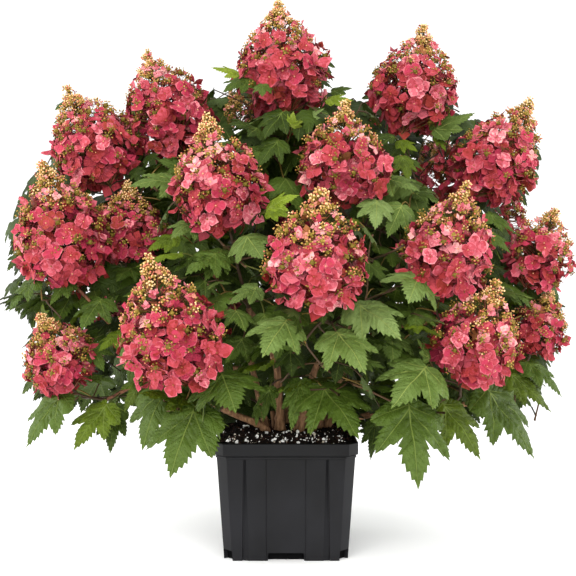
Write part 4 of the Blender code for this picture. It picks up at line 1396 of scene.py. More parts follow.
def leaf_piece(v):
    c = v.mean(0)
    if c[1] > 0.10:
        return LEAF_PIECES["leaves_rear"]
    if abs(c[0]) < 0.16 and c[1] < -0.04:
        return LEAF_PIECES["leaves_front"]
    return LEAF_PIECES["leaves_left" if c[0] < 0 else "leaves_right"]


def lay_leaf(base, tip, normal, width, droop, fold, tint, fine, rng, template=None):
    pool = LEAF_KINDS[fine]
    t = pool[int(rng.integers(len(pool))) if template is None else template % len(pool)]
    v = shape_leaf(t, base, tip, normal, width, droop, fold,
                   float(rng.uniform(-0.35, 0.35)), float(rng.uniform(0, 6.28)))
    return t, v


# painted shade and light: how light each leaf is, its place on the cool or the sunlit row of greens
TINT_AT = {0: (0, 0.6), 1: (0, 2.6), 2: (0, 4.6), 3: (0, 6.4), 4: (0, 8.5), 5: (0, 11.2),
           6: (1, 4.2), 7: (1, 8.2), 8: (1, 1.8)}


def keep_leaf(t, v, tint, base, rng):
    tri, rib = t[1], t[2]
    row, level = TINT_AT[tint]
    mid = t[0][tri].mean(1)
    # painted shade and light with some random tone: faces along the sunk side veins are a step
    # darker, the raised panels between them lighter
    quilt_shade = 45.0 * (np.minimum(t[3], 0.034) - 0.014) + rng.normal(0, 0.22, len(tri))
    if len(tri) < 300:
        quilt_shade = quilt_shade * 0.4
    shade = (level + rng.normal(0, 0.7) + quilt_shade
             + 0.7 * np.sin(mid[:, 0] * 5 + rng.uniform(0, 6.3))
             * np.sin(mid[:, 1] * 4 + rng.uniform(0, 6.3))
             + 0.8 * (mid[:, 1] - 0.5))
    if row:
        mats = COOL + np.clip(np.rint(shade), 0, SUNLIT - 1)
    else:
        mats = np.clip(np.rint(shade), 0, COOL - 1)
    mats = mats.astype(np.int32)
    top = COOL + SUNLIT
    # the rib's green follows the leaf's painted shade: darker on shaded leaves, paler on lit ones
    mats[rib > 0] = top + (0 if level < 2.2 and not row else 1 if level < 8.0 else 2)
    own = np.column_stack([t[4], np.full(len(v), rng.uniform(0, 9.0))])
    leaf_piece(v).add(v, tri, mats, own)
    CENTRES.append(v.mean(0))
    grid = spots(9 if len(tri) < 300 else 4 if len(tri) < 900 else 2)
    cover(np.einsum("sk,tkc->tsc", grid, v[tri]).reshape(-1, 3))
    LEAF_COUNT[0] += 1


def keep_inside(points):
    """Straighten a shoot where it would stray beyond the front outline."""
    chord = points[0] + (points[-1] - points[0]) * np.linspace(0, 1, len(points))[:, None]
    for k in (0.0, 0.45, 0.8, 1.0):
        out = points * (1.0 - k) + chord * k
        px = np.clip(np.rint(to_front(out)).astype(int), 0, GRID - 1)
        if MASKS[0][px[:, 1], px[:, 0]].mean() > 0.97:
            break
    return out


def tuck(points):
    """Move a shoot's middle back behind the leaves that must stay in view."""
    px = np.clip(np.rint(to_front(points)).astype(int), 0, GRID - 1)
    front = FRONT[px[:, 1], px[:, 0]]
    t = np.linspace(0.0, 1.0, len(points))
    ends = np.clip(np.minimum(t, 1.0 - t) / 0.15, 0.0, 1.0)
    need = np.where(front < 8.0, np.clip(front + 0.012 - points[:, 1], 0.0, 0.10), 0.0)
    need = need * ends
    if need.max() > 0.002:
        push = np.max(need[None] * np.exp(-((t[:, None] - t[None]) / 0.25) ** 2), 1)
        points = points.copy()
        points[:, 1] += push * ends
    return points


def petiole(start, start_dir, base, blade_dir, rng, tint=None):
    start, base = np.asarray(start, float), np.asarray(base, float)
    span = np.linalg.norm(base - start)
    pts = hermite(start, unit(start_dir) * span * 0.9, base, unit(blade_dir) * span * 0.8, 9)
    r = np.linspace(0.0014, 0.0010, 9)
    PETIOLES.append((keep_inside(tuck(pts)), r,
                     int(rng.choice([1, 4, 5, 5, 6])) if tint is None else tint))


for name in LATE:
    base, axis = HEADS_NP[name][:2]
    HEAD_STALKS[name] = grow(base, axis, 0.0014, 3, above=1.2, stiff=0.4)


def outward_at(p):
    o = np.array([p[0], p[1], 0.55 * (p[2] - 0.40)])
    return unit(o)


KR = np.random.default_rng(99)
key_rows = []
for k, (bu, bv, by, tu, tv, ty, width, droop, tint, lean) in enumerate(KEY_LEAVES):
    base, tip = np.array(seen(bu, bv, by)), np.array(seen(tu, tv, ty))
    normal = np.array([lean + 0.35 * base[0] / 0.45, -0.72, 0.62])
    t, v = lay_leaf(base, tip, normal, width, droop, 0.75, tint, 2, KR, template=k)
    key_rows.append((t, v, tint, base, tip))
    stamp(v[::2])
for t, v, tint, base, tip in key_rows:
    keep_leaf(t, v, tint, base, KR)

# ------------------------------------------------- leaves by rule, in pairs
LO, HI = np.array(CAD_BOX[0]) - 0.004, np.array(CAD_BOX[1]) + 0.004


def fits(v, strict=True):
    """True if a leaf keeps to the crown, off the heads and out of the way."""
    if (v < LO).any() or (v > HI).any() or v[:, 2].min() < 0.150:
        return False
    near = (np.abs(v[:, 0]) < 0.126) & (np.abs(v[:, 1]) < 0.126)
    if (near & (v[:, 2] < 0.222)).any():
        return False
    for mask, view, allowed in zip(MASKS, VIEWS, (0.06, 0.12, 0.12)):
        px = np.rint(view(v)).astype(int)
        px = np.clip(px, 0, GRID - 1)
        if np.mean(~mask[px[:, 1], px[:, 0]]) > allowed:
            return False
    if in_heads(v, 0.80).mean() > 0.05:
        return False
    px = np.clip(np.rint(to_front(v)).astype(int), 0, GRID - 1)
    hides = v[:, 1] < FRONT[px[:, 1], px[:, 0]] - 0.004
    if np.mean(hides & (FRONT[px[:, 1], px[:, 0]] < 8.0)) > 0.07:
        return False
    c = v.mean(0)
    if CENTRES:
        near = np.linalg.norm(np.array(CENTRES) - c, axis=1)
        if near.min() < (0.026 if strict else 0.022):
            return False
    return True


def try_leaf(node, node_dir, out, size, rng, petiole_len, tint, fine):
    """One leaf of a pair: its stalk leaves node along out, the blade hangs."""
    for attempt in range(3):
        o = unit(out + rng.normal(0, 0.18, 3))
        start_dir = unit(o * 0.8 + node_dir * 0.55)
        pl = petiole_len * rng.uniform(0.75, 1.2)
        base = node + start_dir * pl + np.array([0.0, 0.0, -0.10 * pl])
        radial = unit(np.array([base[0], base[1], 0.0]) + 1e-9)
        flat = unit(np.array([o[0], o[1], 0.0]) * 0.8 + radial * 0.55)
        drop = rng.uniform(0.25, 0.95)
        blade = unit(flat + np.array([0.0, 0.0, -drop]))
        tip = base + blade * size
        normal = unit(flat * (0.35 + 0.3 * drop) + np.array([0.0, 0.0, 1.0])
                      + rng.normal(0, 0.16, 3))
        t, v = lay_leaf(base, tip, normal, rng.uniform(0.85, 1.08), rng.uniform(0.3, 0.9),
                        rng.uniform(0.4, 1.1), tint, fine, rng)
        if fits(v):
            keep_leaf(t, v, tint, base, rng)
            petiole(node, start_dir, base, blade, rng)
            LEAF_COUNT[1] += 1
            return True
        size *= 0.86
    return False


def pairs_along(points, marks, sizes, rng, tints, fine=1, turn=None):
    points = np.asarray(points, float)
    seg = np.linalg.norm(np.diff(points, axis=0), axis=1)
    s = np.concatenate([[0.0], np.cumsum(seg)])
    turn = rng.uniform(0, np.pi) if turn is None else turn
    for k, (mark, size) in enumerate(zip(marks, sizes)):
        at = s[-1] - mark
        if at < 0.01:
            break
        node = np.array([np.interp(at, s, points[:, c]) for c in range(3)])
        nxt = np.array([np.interp(min(at + 0.01, s[-1]), s, points[:, c]) for c in range(3)])
        prv = np.array([np.interp(max(at - 0.01, 0), s, points[:, c]) for c in range(3)])
        d = unit(nxt - prv)
        ref = unit(np.cross(d, (0.0, 0.0, 1.0) if abs(d[2]) < 0.9 else (1.0, 0.0, 0.0)))
        other = np.cross(d, ref)
        a = turn + k * np.pi / 2
        out = ref * math.cos(a) + other * math.sin(a)
        for sgn in (1.0, -1.0):
            try_leaf(node, d, out * sgn, size * rng.uniform(0.85, 1.12), rng,
                     0.026 + 0.20 * size, int(rng.choice(tints)), fine)


LR = np.random.default_rng(314)
# below each flower head
for name, pts in HEAD_STALKS.items():
    if pts is None:
        continue
    rear = name.startswith("head_rear")
    pairs_along(pts, (0.022, 0.062, 0.108, 0.160), (0.078, 0.100, 0.118, 0.125), LR,
                (2, 3, 3, 4, 4, 5, 6) if rear else (1, 2, 2, 3, 3, 4), fine=1)


def spiral_ways(n, seed):
    k = np.arange(n) + 0.5
    z = 1.0 - 2.0 * k / n
    a = np.pi * (1.0 + 5.0**0.5) * k + seed
    r = np.sqrt(1.0 - z * z)
    return np.stack([r * np.cos(a), r * np.sin(a), z], 1)


for m, (name, (centre, verts, half, out)) in enumerate(MASS_AT.items()):
    centre, out = np.array(centre), np.array(out)
    rear = "rear" in name
    count = 24 if rear else 18
    across = unit(np.cross(out, (0.0, 0.0, 1.0)))
    ways = spiral_ways(count, 0.7 * m)
    order = np.argsort([float(np.linalg.norm(w)) for w in ways])
    for w in ways[order]:
        if rear:
            aim = across * w[0] * half[0] + out * w[1] * half[1]
        else:
            aim = np.array([w[0] * half[0], w[1] * half[1], 0.0])
        aim = aim + np.array([0.0, 0.0, w[2] * half[2]])
        goal = centre + aim * LR.uniform(0.42, 0.72)
        if in_heads(goal[None], 1.0)[0] or goal[2] < 0.225:
            continue
        crown = unit(np.array([goal[0], goal[1], 0.4 * (goal[2] - 0.35)]))
        # keep to the outer side of the crown, where light reaches
        if unit(aim) @ crown < -0.35:
            continue
        end = unit(crown * 0.8 + unit(aim) * 0.5 + np.array([0.0, 0.0, 0.55]))
        pts = grow(goal, end, 0.0015, 3 if LR.random() < 0.6 else 4, above=0.9,
                   stiff=0.45)
        if pts is None:
            continue
        size = LR.uniform(0.085, 0.125)
        pairs_along(pts, (0.004, 0.042, 0.085), (size * 0.8, size, size * 1.08), LR,
                    (2, 3, 3, 4, 4, 5, 6) if rear else (1, 2, 2, 3, 3, 4, 6), fine=1)

# where a view still passes through the crown, shoots reach into the gap
def thin(mask, n):
    out = mask.copy()
    for _ in range(n):
        q = out.copy()
        q[1:] &= out[:-1]
        q[:-1] &= out[1:]
        q[:, 1:] &= out[:, :-1]
        q[:, :-1] &= out[:, 1:]
        out = q
    return out


def close_gaps(axis, limit, rng, edge):
    mask = thin(MASKS[axis], edge)
    k = 2 if axis == 0 else 1
    mask = mask.repeat(k, 0).repeat(k, 1)
    placed = 0
    for turn in range(220):
        gaps = np.argwhere(mask & ~COVERED[axis])
        if len(gaps) < 25 or placed >= limit:
            break
        for row, col in gaps[rng.choice(len(gaps), min(16, len(gaps)), replace=False)]:
            if COVERED[axis][row, col]:
                continue
            row, col = row / k, col / k
            size = rng.uniform(0.060, 0.100) if turn < 50 else rng.uniform(0.034, 0.060)
            if axis == 0:
                low = 205 < col * 2 < 372 and row * 2 > 385
                y = rng.uniform(0.03, 0.24) if low else rng.uniform(-0.06, 0.20)
                mid = np.array(seen(col * 2.0, row * 2.0, y))
                face = np.array([0.35 * mid[0] / 0.4, -1.0, 0.0])
            elif axis == 1:
                x = rng.uniform(0.04, 0.24) * rng.choice([-1.0, 1.0])
                mid = np.array([x, col / 262.0 - 0.55, 1.02 - row / 262.0])
                face = np.array([np.sign(x), 0.0, 0.0])
            else:
                mid = np.array([col / 262.0 - 0.55, row / 262.0 - 0.55,
                                rng.uniform(0.34, 0.52)])
                face = unit(np.array([mid[0], mid[1], 0.0]) + 1e-6)
            side = np.cross(face, (0.0, 0.0, 1.0))
            blade = unit(face * rng.uniform(0.15, 0.6) + side * rng.normal(0, 0.5)
                         + np.array([0.0, 0.0, -rng.uniform(0.45, 0.95)]))
            if axis == 0 and low:
                size *= 0.85
                blade = unit(side * rng.choice([-1.0, 1.0]) + face * 0.3
                             + np.array([0.0, 0.0, -rng.uniform(0.0, 0.5)]))
            if axis == 2:
                blade = unit(face + side * rng.normal(0, 0.6) + np.array([0, 0, -0.25]))
            base = mid - blade * size * 0.5
            tip = mid + blade * size * 0.5
            normal = unit(face * 0.8 + np.array([0.0, 0.0, 0.6]) + rng.normal(0, 0.15, 3))
            t, v = lay_leaf(base, tip, normal, rng.uniform(0.9, 1.1),
                            rng.uniform(0.2, 0.6), 0.6, 0, 0, rng)
            if (v < LO).any() or (v > HI).any() or in_heads(v, 0.85).mean() > 0.12:
                continue
            near = (np.abs(v[:, 0]) < 0.126) & (np.abs(v[:, 1]) < 0.126)
            if (near & (v[:, 2] < 0.215)).any() or v[:, 2].min() < 0.15:
                continue
            px = np.clip(np.rint(to_front(v)).astype(int), 0, GRID - 1)
            if np.mean(v[:, 1] < FRONT[px[:, 1], px[:, 0]] - 0.004) > 0.07 and \
                    np.mean((v[:, 1] < FRONT[px[:, 1], px[:, 0]] - 0.004)
                            & (FRONT[px[:, 1], px[:, 0]] < 8.0)) > 0.07:
                continue
            if any(np.mean(~MASKS[m][tuple(np.clip(np.rint(VIEWS[m](v)).astype(int), 0,
                                                   GRID - 1)[:, ::-1].T)]) > allow
                   for m, allow in ((0, 0.10), (1, 0.3), (2, 0.3))):
                continue
            # painted shade: the leaves that close gaps inside the crown take the darkest greens
            keep_leaf(t, v, int(rng.choice([0, 1, 1, 1, 2, 2])), base, rng)
            foot = base - blade * 0.03 + np.array([0.0, 0.0, -0.012])
            i, dist = SK.nearest(foot, 0.5)
            if dist > 0.06:
                grow(foot, unit(outward_at(foot) + np.array([0.0, 0.0, 0.6])), 0.0013, 3,
                     above=0.9, reach=0.3)
                i, dist = SK.nearest(base, 0.2)
            p = np.array(SK.p[i])
            petiole(p, unit(unit(base - p) + np.array([0, 0, 0.3])), base, blade, rng, 3)
            placed += 1
    print("gap leaves", axis, placed, "left", int((mask & ~COVERED[axis]).sum()))


GR = np.random.default_rng(77)
close_gaps(0, 340, GR, 2)
close_gaps(1, 110, GR, 5)
close_gaps(2, 70, GR, 5)

# shoots that carry them, then their stalks
for t, v, tint, base, tip in sorted(key_rows, key=lambda r: float(np.linalg.norm(
        r[3] - np.array([0.0, 0.0, 0.3])))):
    blade = unit(tip - base)
    hang = unit(blade * 0.8 + np.array([0.0, 0.0, 0.5]))
    inner = base - hang * 0.030 + np.array([0.0, 0.034, -0.008])
    i, dist = SK.nearest(inner, 0.8)
    if dist > 0.035:
        grow(inner, unit(outward_at(inner) + np.array([0.0, 0.0, 0.8])), 0.0013, 3,
             above=0.9, reach=0.3, stiff=0.3)
        i, dist = SK.nearest(base, 0.2)
    p = np.array(SK.p[i])
    way = unit(base - p)
    petiole(p, unit(way + np.array([0, 0, 0.4])), base, blade, KR)


print("leaves:", LEAF_COUNT, {k: p.t for k, p in LEAF_PIECES.items()}, "twigs", len(TWIGS))

# -------------------------------------------------------------- flower heads
def sepal(fine):
    """One broad sepal along +Y from the origin, with a face kind each: 0 body,
    1 margin, 2 throat."""
    rows, cols, fall = {
        2: (((0.22, 0.23), (0.45, 0.44), (0.68, 0.51), (0.87, 0.39), (0.98, 0.21)),
            (-1.0, -0.86, -0.43, 0.0, 0.43, 0.86, 1.0), (0.0, 0.01, 0.04, 0.08, 0.05)),
        1: (((0.40, 0.40), (0.82, 0.46)), (-1.0, 0.0, 1.0), (0.0, 0.09)),
        0: (((0.62, 0.48),), (-1.0, 0.0, 1.0), (0.06,)),
    }[fine]
    cols = np.array(cols)
    verts = [(0.0, 0.0, 0.0)]
    for (u, w), f in zip(rows, fall):
        for c in cols:
            verts.append((c * w, u - f * c * c,
                          0.06 * abs(c) * u - 0.030 * math.cos(c * math.pi * 2) * u))
    verts.append((0.0, 1.07, -0.015))
    n = len(cols)
    faces, kinds = [], []
    for i in range(n - 1):
        faces.append((0, 2 + i, 1 + i))
        kinds.append(2 if fine else 0)
    for r in range(len(rows) - 1):
        for i in range(n - 1):
            a, b = 1 + r * n + i, 2 + r * n + i
            c, d = a + n, b + n
            faces += [(a, b, d), (a, d, c)]
            rim = fine == 2 and (r == len(rows) - 2 or (r >= 1 and i in (0, n - 2)))
            kinds += [1 if rim else 0] * 2
    a = 1 + (len(rows) - 1) * n
    for i in range(n - 1):
        faces.append((a + i, a + i + 1, a + n))
        kinds.append(1 if fine == 2 else 0)
    return np.array(verts), np.array(faces), np.array(kinds)


SEPALS = [sepal(k) for k in (0, 1, 2)]
PALEST = 6


def florets(P, N, size, tints, hearts, fine, rng, piece, bare=False):
    """Four-sepalled florets at P, facing N."""
    k = len(P)
    if not k:
        return
    sv, sf, sk = SEPALS[fine]
    ref = rng.normal(0, 1, (k, 3))
    X = unit(np.cross(N, ref))
    Y = np.cross(N, X)
    ang = (np.arange(4) * np.pi / 2)[None] + rng.normal(0, 0.12, (k, 4))
    scale = rng.uniform(0.80, 1.14, (k, 4))
    wide = rng.uniform(0.90, 1.24, (k, 4))
    cup = rng.normal(0.12, 0.24, (k, 1)) + rng.normal(0.0, 0.18, (k, 4))
    lift = np.array([0.02, -0.01, 0.02, -0.01])[None] + rng.normal(0, 0.008, (k, 4))
    roll = rng.normal(0, 0.20, (k, 4))
    x = sv[None, None, :, 0] * wide[:, :, None]
    y = sv[None, None, :, 1] + 0.0 * x
    z = (sv[None, None, :, 2] + cup[:, :, None] * y * y + 0.10 * cup[:, :, None] * y
         - 0.30 * (x * x) + roll[:, :, None] * x + lift[:, :, None] * (1.0 - 0.4 * y))
    # crinkle of the margin, and a fold along the middle
    z = z + 0.05 * np.sin(x * 9.0 + rng.uniform(0, 6.3, (k, 4, 1))) * y
    z = z + rng.normal(0.0, 0.10, (k, 4, 1)) * np.abs(x)
    x, y, z = x * scale[:, :, None], y * scale[:, :, None], z * scale[:, :, None]
    ca, sa = np.cos(ang)[:, :, None], np.sin(ang)[:, :, None]
    lx, ly = x * ca - y * sa, x * sa + y * ca
    pts = (lx[..., None] * X[:, None, None, :] + ly[..., None] * Y[:, None, None, :]
           + z[..., None] * N[:, None, None, :]) * size[:, None, None, None]
    pts = P[:, None, None, :] + pts
    nv = sv.shape[0]
    faces = (sf[None, None] + (np.arange(k * 4).reshape(k, 4) * nv)[:, :, None, None])
    body = tints[:, None, None]
    plainish = np.where(body > PALEST, np.where(body == 9, 5, 3), body)
    jump = np.where(rng.random((k, 4)) < 0.22, 1, 0)[:, :, None]
    rim = np.clip(plainish + 1, 0, PALEST)
    throat = np.clip(plainish + np.where(rng.random((k, 1, 1)) < 0.65, -1, 1), 0, PALEST)
    mats = np.where(body > PALEST, body, np.clip(body - jump, 0, PALEST))
    if fine:
        # no sepal is quite even: patches a step lighter or darker
        patch = rng.random((k, 4, (len(sf) + 1) // 2)).repeat(2, axis=2)[:, :, :len(sf)]
        step = np.where(patch < 0.22, -1, np.where(patch > 0.80, 1, 0))
        mats = np.where(mats <= PALEST, np.clip(mats + step, 0, PALEST),
                        np.where(patch < 0.22, np.clip(plainish - 1, 0, PALEST), mats))
    mats = np.where(sk[None, None] == 1, rim, np.where(sk[None, None] == 2, throat, mats))
    own = np.broadcast_to(sv[None, None], (k, 4, nv, 3)).copy()
    own[..., 2] = rng.uniform(0, 9.0, (k, 4, 1))
    piece.add(pts.reshape(-1, 3), faces.reshape(-1, 3), mats.reshape(-1),
              own.reshape(-1, 3))
    if bare:
        return
    # the bead in the middle
    octa_at(P + N * (size * 0.06)[:, None], size * (0.09 if fine == 2 else 0.13),
            len(FLOWER_TINTS) + hearts, rng, piece, own=True)


OCTA_V = np.array([(1, 0, 0), (0, 1, 0), (-1, 0, 0), (0, -1, 0), (0, 0, 1), (0, 0, -1)], float)
OCTA_F = np.array([(0, 1, 4), (1, 2, 4), (2, 3, 4), (3, 0, 4),
                   (1, 0, 5), (2, 1, 5), (3, 2, 5), (0, 3, 5)])


def octa_at(P, R, mats, rng, piece, stretch=None, way=None, own=False):
    """Small buds: one eight-faced bead each, shaded smooth."""
    k = len(P)
    v = OCTA_V[None] * np.asarray(R, float)[:, None, None]
    if way is not None:
        Z = unit(way)
        X = unit(np.cross(Z, rng.normal(0, 1, (k, 3))))
        Y = np.cross(Z, X)
        v = (v[..., 0:1] * X[:, None] + v[..., 1:2] * Y[:, None]
             + v[..., 2:3] * Z[:, None] * (stretch or 1.0))
    v = v + P[:, None]
    f = OCTA_F[None] + (np.arange(k) * 6)[:, None, None]
    piece.add(v.reshape(-1, 3), f.reshape(-1, 3),
              np.repeat(np.broadcast_to(np.asarray(mats), (k,)), 8),
              np.zeros((k * 6, 3)) if own else None)


FLOWER_PIECES = {"florets_front": Piece(), "florets_side": Piece(), "florets_rear": Piece()}
BUDS = {"buds_front": Piece(), "buds_rear": Piece()}
STALKS = {"flower_stalks_front": Piece(), "flower_stalks_rear": Piece()}
# how pale each head is, and how far down its buds reach
HEAD_MOOD = {
    "head_top": (0.4, 0.9), "head_top_right": (0.2, 1.1), "head_top_left": (0.0, 1.2),
    "head_left_high": (0.0, 1.2), "head_left": (0.0, 1.2), "head_left_inner": (0.1, 1.0),
    "head_centre_left": (0.3, 1.2), "head_centre_right": (0.4, 0.9),
    "head_front": (0.4, 1.0), "head_right_inner": (0.3, 1.1), "head_right_high": (0.0, 1.0),
    "head_right": (0.0, 1.2), "head_low_right": (0.0, 1.3),
    "head_low_right_outer": (-0.1, 1.3), "head_low_left": (0.1, 1.1),
    "head_far_left_low": (0.1, 1.5), "head_right_back": (0.2, 1.8),
    "head_right_small": (0.3, 2.2), "late_panicle_1": (0.9, 2.2),
}


def make_head(name, index):
    rng = np.random.default_rng(1000 + index)
    base, axis, side, other, length, half = HEADS_NP[name]
    mood, green = HEAD_MOOD.get(name, (float(rng.uniform(-0.1, 0.3)),
                                       float(rng.uniform(0.9, 1.2))))
    rear = base[1] > 0.06
    fp = FLOWER_PIECES["florets_rear" if rear else
                       ("florets_front" if base[1] < -0.09 else "florets_side")]
    bp = BUDS["buds_rear" if rear else "buds_front"]
    sp = STALKS["flower_stalks_rear" if rear else "flower_stalks_front"]
    bend = side * rng.normal(0, 0.02) + other * rng.normal(0, 0.02)
    crown = unit(np.array([base[0], base[1] - 0.15, 0.0]))

    def centre(t):
        t = np.asarray(t, float)
        return (base + axis * (t * length)[..., None]
                + bend * (np.sin(t * np.pi) * length)[..., None])

    def radius(t):
        return np.interp(t, ST, SR) * half

    scale = half / 0.082
    # rachis
    tt = np.linspace(-0.02, 0.985, 16)
    v, f, _ = tubes(centre(tt)[None], np.linspace(0.0022, 0.0006, 16)[None] * min(scale, 1.1), 7)
    sp.add(v, f, 2)

    def spread(n, lo, hi, phase, power=1.0):
        """t and angle of n places spread evenly over the cone's side."""
        grid = np.linspace(lo, hi, 200)
        dens = (radius(grid) + 0.003) ** power
        cdf = np.cumsum(dens)
        cdf /= cdf[-1]
        t = np.interp((np.arange(n) + 0.5) / n, cdf, grid)
        a = np.arange(n) * 2.39996 + phase
        return (np.clip(t + rng.normal(0, 0.018, n), lo, hi), a + rng.normal(0, 0.16, n))

    def place(t, a, frac):
        out = np.cos(a)[:, None] * side + np.sin(a)[:, None] * other
        return centre(t) + out * (radius(t) * frac)[:, None], out

    area = scale * (length / 0.18)
    late = name in LATE
    # number, range, depth in the cone, radius at both ends, tint, how finely made
    loose = 0.5 if green > 1.6 else 1.0
    rows = (
        (int(74 * area ** 0.85 * (1.08 - 0.08 * green) * loose), 0.06, 0.62, 0.76, 1.05,
         0.0192, 0.0144, 2.1, 2),
        (int(26 * area ** 0.85 * loose), 0.08, 0.64, 0.52, 0.72, 0.0165, 0.0130, 1.9, 1),
        (int(34 * area ** 0.85), 0.00, 0.90, 0.20, 0.52, 0.0168, 0.0090, 1.6, 0),
        (int(40 * area ** 0.85 * loose), 0.08, 0.66, 0.66, 0.86, 0.0180, 0.0120, 1.8, 0),
        (int(32 * area ** 0.8), 0.44, 0.84, 0.72, 1.06, 0.0125, 0.0088, 3.5, 1),
        (int(20 * area ** 0.7), 0.64, 0.97, 0.76, 1.06, 0.0080, 0.0050, 4.5, 0),
    )
    if late:
        rows = ((10, 0.0, 0.6, 0.7, 1.0, 0.0085, 0.0070, 3.6, 1),
                (10, 0.2, 0.99, 0.7, 1.05, 0.0055, 0.0040, 4.6, 0))
    sets = []
    for n, lo, hi, f0, f1, r0, r1, pale, fine in rows:
        t, a = spread(n, lo, hi, rng.uniform(0, 6), 0.9)
        k = np.clip((t - lo) / (hi - lo), 0, 1)
        size = (r0 + (r1 - r0) * k) * scale ** 0.45 * rng.uniform(0.76, 1.15, n)
        P, out = place(t, a, rng.uniform(f0, f1, n))
        P = P - out * (size * 0.20)[:, None]
        tilt = -0.16 + 0.95 * t + rng.normal(0, 0.38, n)
        N = unit(out * np.cos(tilt)[:, None] + axis * np.sin(tilt)[:, None]
                 + np.array([0.0, 0.0, 0.14]) + rng.normal(0, 0.21, (n, 3)))
        tint = pale + 1.3 * t + mood + rng.normal(0, 0.85, n)
        tint = np.clip(np.rint(tint), 0, PALEST).astype(int)
        odd = rng.random(n)
        if r0 > 0.012:
            # brick: a few outer florets have it as their own tone; in the rows deep in the cone
            # about a third take it as painted shade
            tint[odd < (0.35 if f1 < 0.75 else 0.05)] = 7
            tint[odd > (0.74 if mood < 0.15 else 0.84)] = 8
            if f0 < 0.3:
                tint[(t > 0.42) & (odd < 0.75)] = len(FLOWER_TINTS) + 1
        else:
            tint[(odd > 0.70) & (t > 0.55)] = 9
        hearts = rng.integers(0, 2, n)
        outer = (out @ crown > -0.22) & (not rear)
        for level, sel in ((fine, outer), (max(fine - 1, 0) if not rear else min(fine, 1),
                                           ~outer)):
            florets(P[sel], N[sel], size[sel], tint[sel], hearts[sel], level, rng, fp,
                    fine == 0 and f1 < 0.9)
        sets.append((t, P - N * (size * 0.02)[:, None], N, size))

    # stalks of the florets, thin and a little curved
    t = np.concatenate([s[0] for s in sets])
    P = np.concatenate([s[1] for s in sets])
    N = np.concatenate([s[2] for s in sets])
    start = centre(np.clip(t - 0.10 - 0.10 * rng.random(len(t)), 0.0, 0.97))
    way = P - start
    d = np.linalg.norm(way, axis=1, keepdims=True)
    pts = hermite(start, unit(way + axis * 0.02) * d * 0.9, P, N * d * 0.7, 3)
    r = np.linspace(0.0008, 0.00045, 3)[None] * np.ones((len(t), 1))
    v, f, per = tubes(pts, r, 3, cap=False)
    sp.add(v, f, np.repeat(rng.choice([0, 0, 2, 3], len(t)), per))

    # bud clusters on short side branches, most of them towards the tip
    few = 0.55 if rear else 1.0
    groups = (
        (int(16 * area ** 0.75 * few), 0.10, 0.44, 0.84, 0.97, (8, 12), 0.0074,
         (0.0013, 0.0018), 1.0),
        (int(34 * area ** 0.6 * green * few), 0.34, 0.72, 0.80, 1.00, (9, 13), 0.0080,
         (0.0013, 0.0019), 1.9),
        (int(31 * area ** 0.5 * few), 0.58, 0.86, 0.66, 0.98, (9, 12), 0.0072,
         (0.0014, 0.0020), 3.0),
        (int(26 * area ** 0.5 * few), 0.80, 1.005, 0.15, 0.80, (9, 13), 0.0064,
         (0.0015, 0.0022), 4.0),
    )
    if late:
        groups = ((16, 0.05, 0.6, 0.5, 1.0, (9, 13), 0.0070, (0.0015, 0.0020), 2.4),
                  (18, 0.5, 0.98, 0.3, 1.0, (9, 12), 0.0064, (0.0015, 0.0021), 3.4))
    for n, lo, hi, f0, f1, beads, reach, bead_r, warm in groups:
        t, a = spread(n, lo, hi, rng.uniform(0, 6), 0.9)
        P, out = place(t, a, rng.uniform(f0, f1, n))
        start = centre(np.clip(t - 0.08 - 0.04 * rng.random(n), 0.0, 0.96))
        way = P - start
        d = np.linalg.norm(way, axis=1, keepdims=True)
        pts = hermite(start, unit(out * 0.7 + axis * 0.5) * d, P,
                      unit(way + axis * 0.1) * d, 3)
        v, f, per = tubes(pts, np.linspace(0.0009, 0.0006, 3)[None] * np.ones((n, 1)), 3,
                          cap=False)
        sp.add(v, f, np.repeat(rng.choice([1, 2, 2, 3], n), per))
        count = rng.integers(*beads, n)
        own = np.repeat(np.arange(n), count)
        # beads sit on the outer half of each cluster
        seq = np.concatenate([np.arange(c) for c in count])
        share = (seq + 0.5) / count[own]
        cosb = 1.0 - 1.25 * share
        sinb = np.sqrt(np.clip(1 - cosb**2, 0, 1))
        turn = seq * 2.39996 + rng.uniform(0, 6.3, n)[own]
        lead = unit(out * 0.8 + axis * (0.15 + 0.6 * t)[:, None] + rng.normal(0, 0.15, (n, 3)))
        U = unit(np.cross(lead, rng.normal(0, 1, (n, 3))))
        W = np.cross(lead, U)
        ball = (lead[own] * cosb[:, None] + U[own] * (sinb * np.cos(turn))[:, None]
                + W[own] * (sinb * np.sin(turn))[:, None])
        size = reach * scale ** 0.4 * rng.uniform(0.85, 1.15, n)
        B = P[own] + ball * (size[own] * rng.uniform(0.78, 1.05, len(own)))[:, None]
        # painted light: beads on the upper side of a cluster are up to half a step lighter, those
        # underneath darker
        level = warm + 0.6 * (t[own] - lo) / (hi - lo) + 0.5 * ball[:, 2] \
            + rng.normal(0, 0.65, n)[own] + rng.normal(0, 0.6, len(own))
        mats = np.clip(np.rint(level), 0, 5).astype(int)
        odd = rng.random(len(own))
        mats[odd < (0.14 if warm > 3.5 else 0.26 if warm > 2.5 else 0.12)] = 6
        mats[odd > (0.98 if warm > 3 else 0.95)] = 7
        R = rng.uniform(*bead_r, len(own)) * scale ** 0.15
        octa_at(B, R, mats, rng, bp, 1.12, ball)
        # the massed little stalks at each cluster's heart
        octa_at(P - lead * (size * 0.1)[:, None], size * 0.62,
                1 if warm < 3 else 2, rng, bp, 1.2, lead)
        sel = np.arange(0, len(own), 9)
        pts = np.stack([P[own][sel], B[sel]], 1)
        v, f, per = tubes(pts, np.array([[0.0005, 0.0004]]) * np.ones((len(sel), 1)), 3,
                          cap=False)
        sp.add(v, f, np.repeat(rng.choice([1, 2, 0], len(sel)), per))


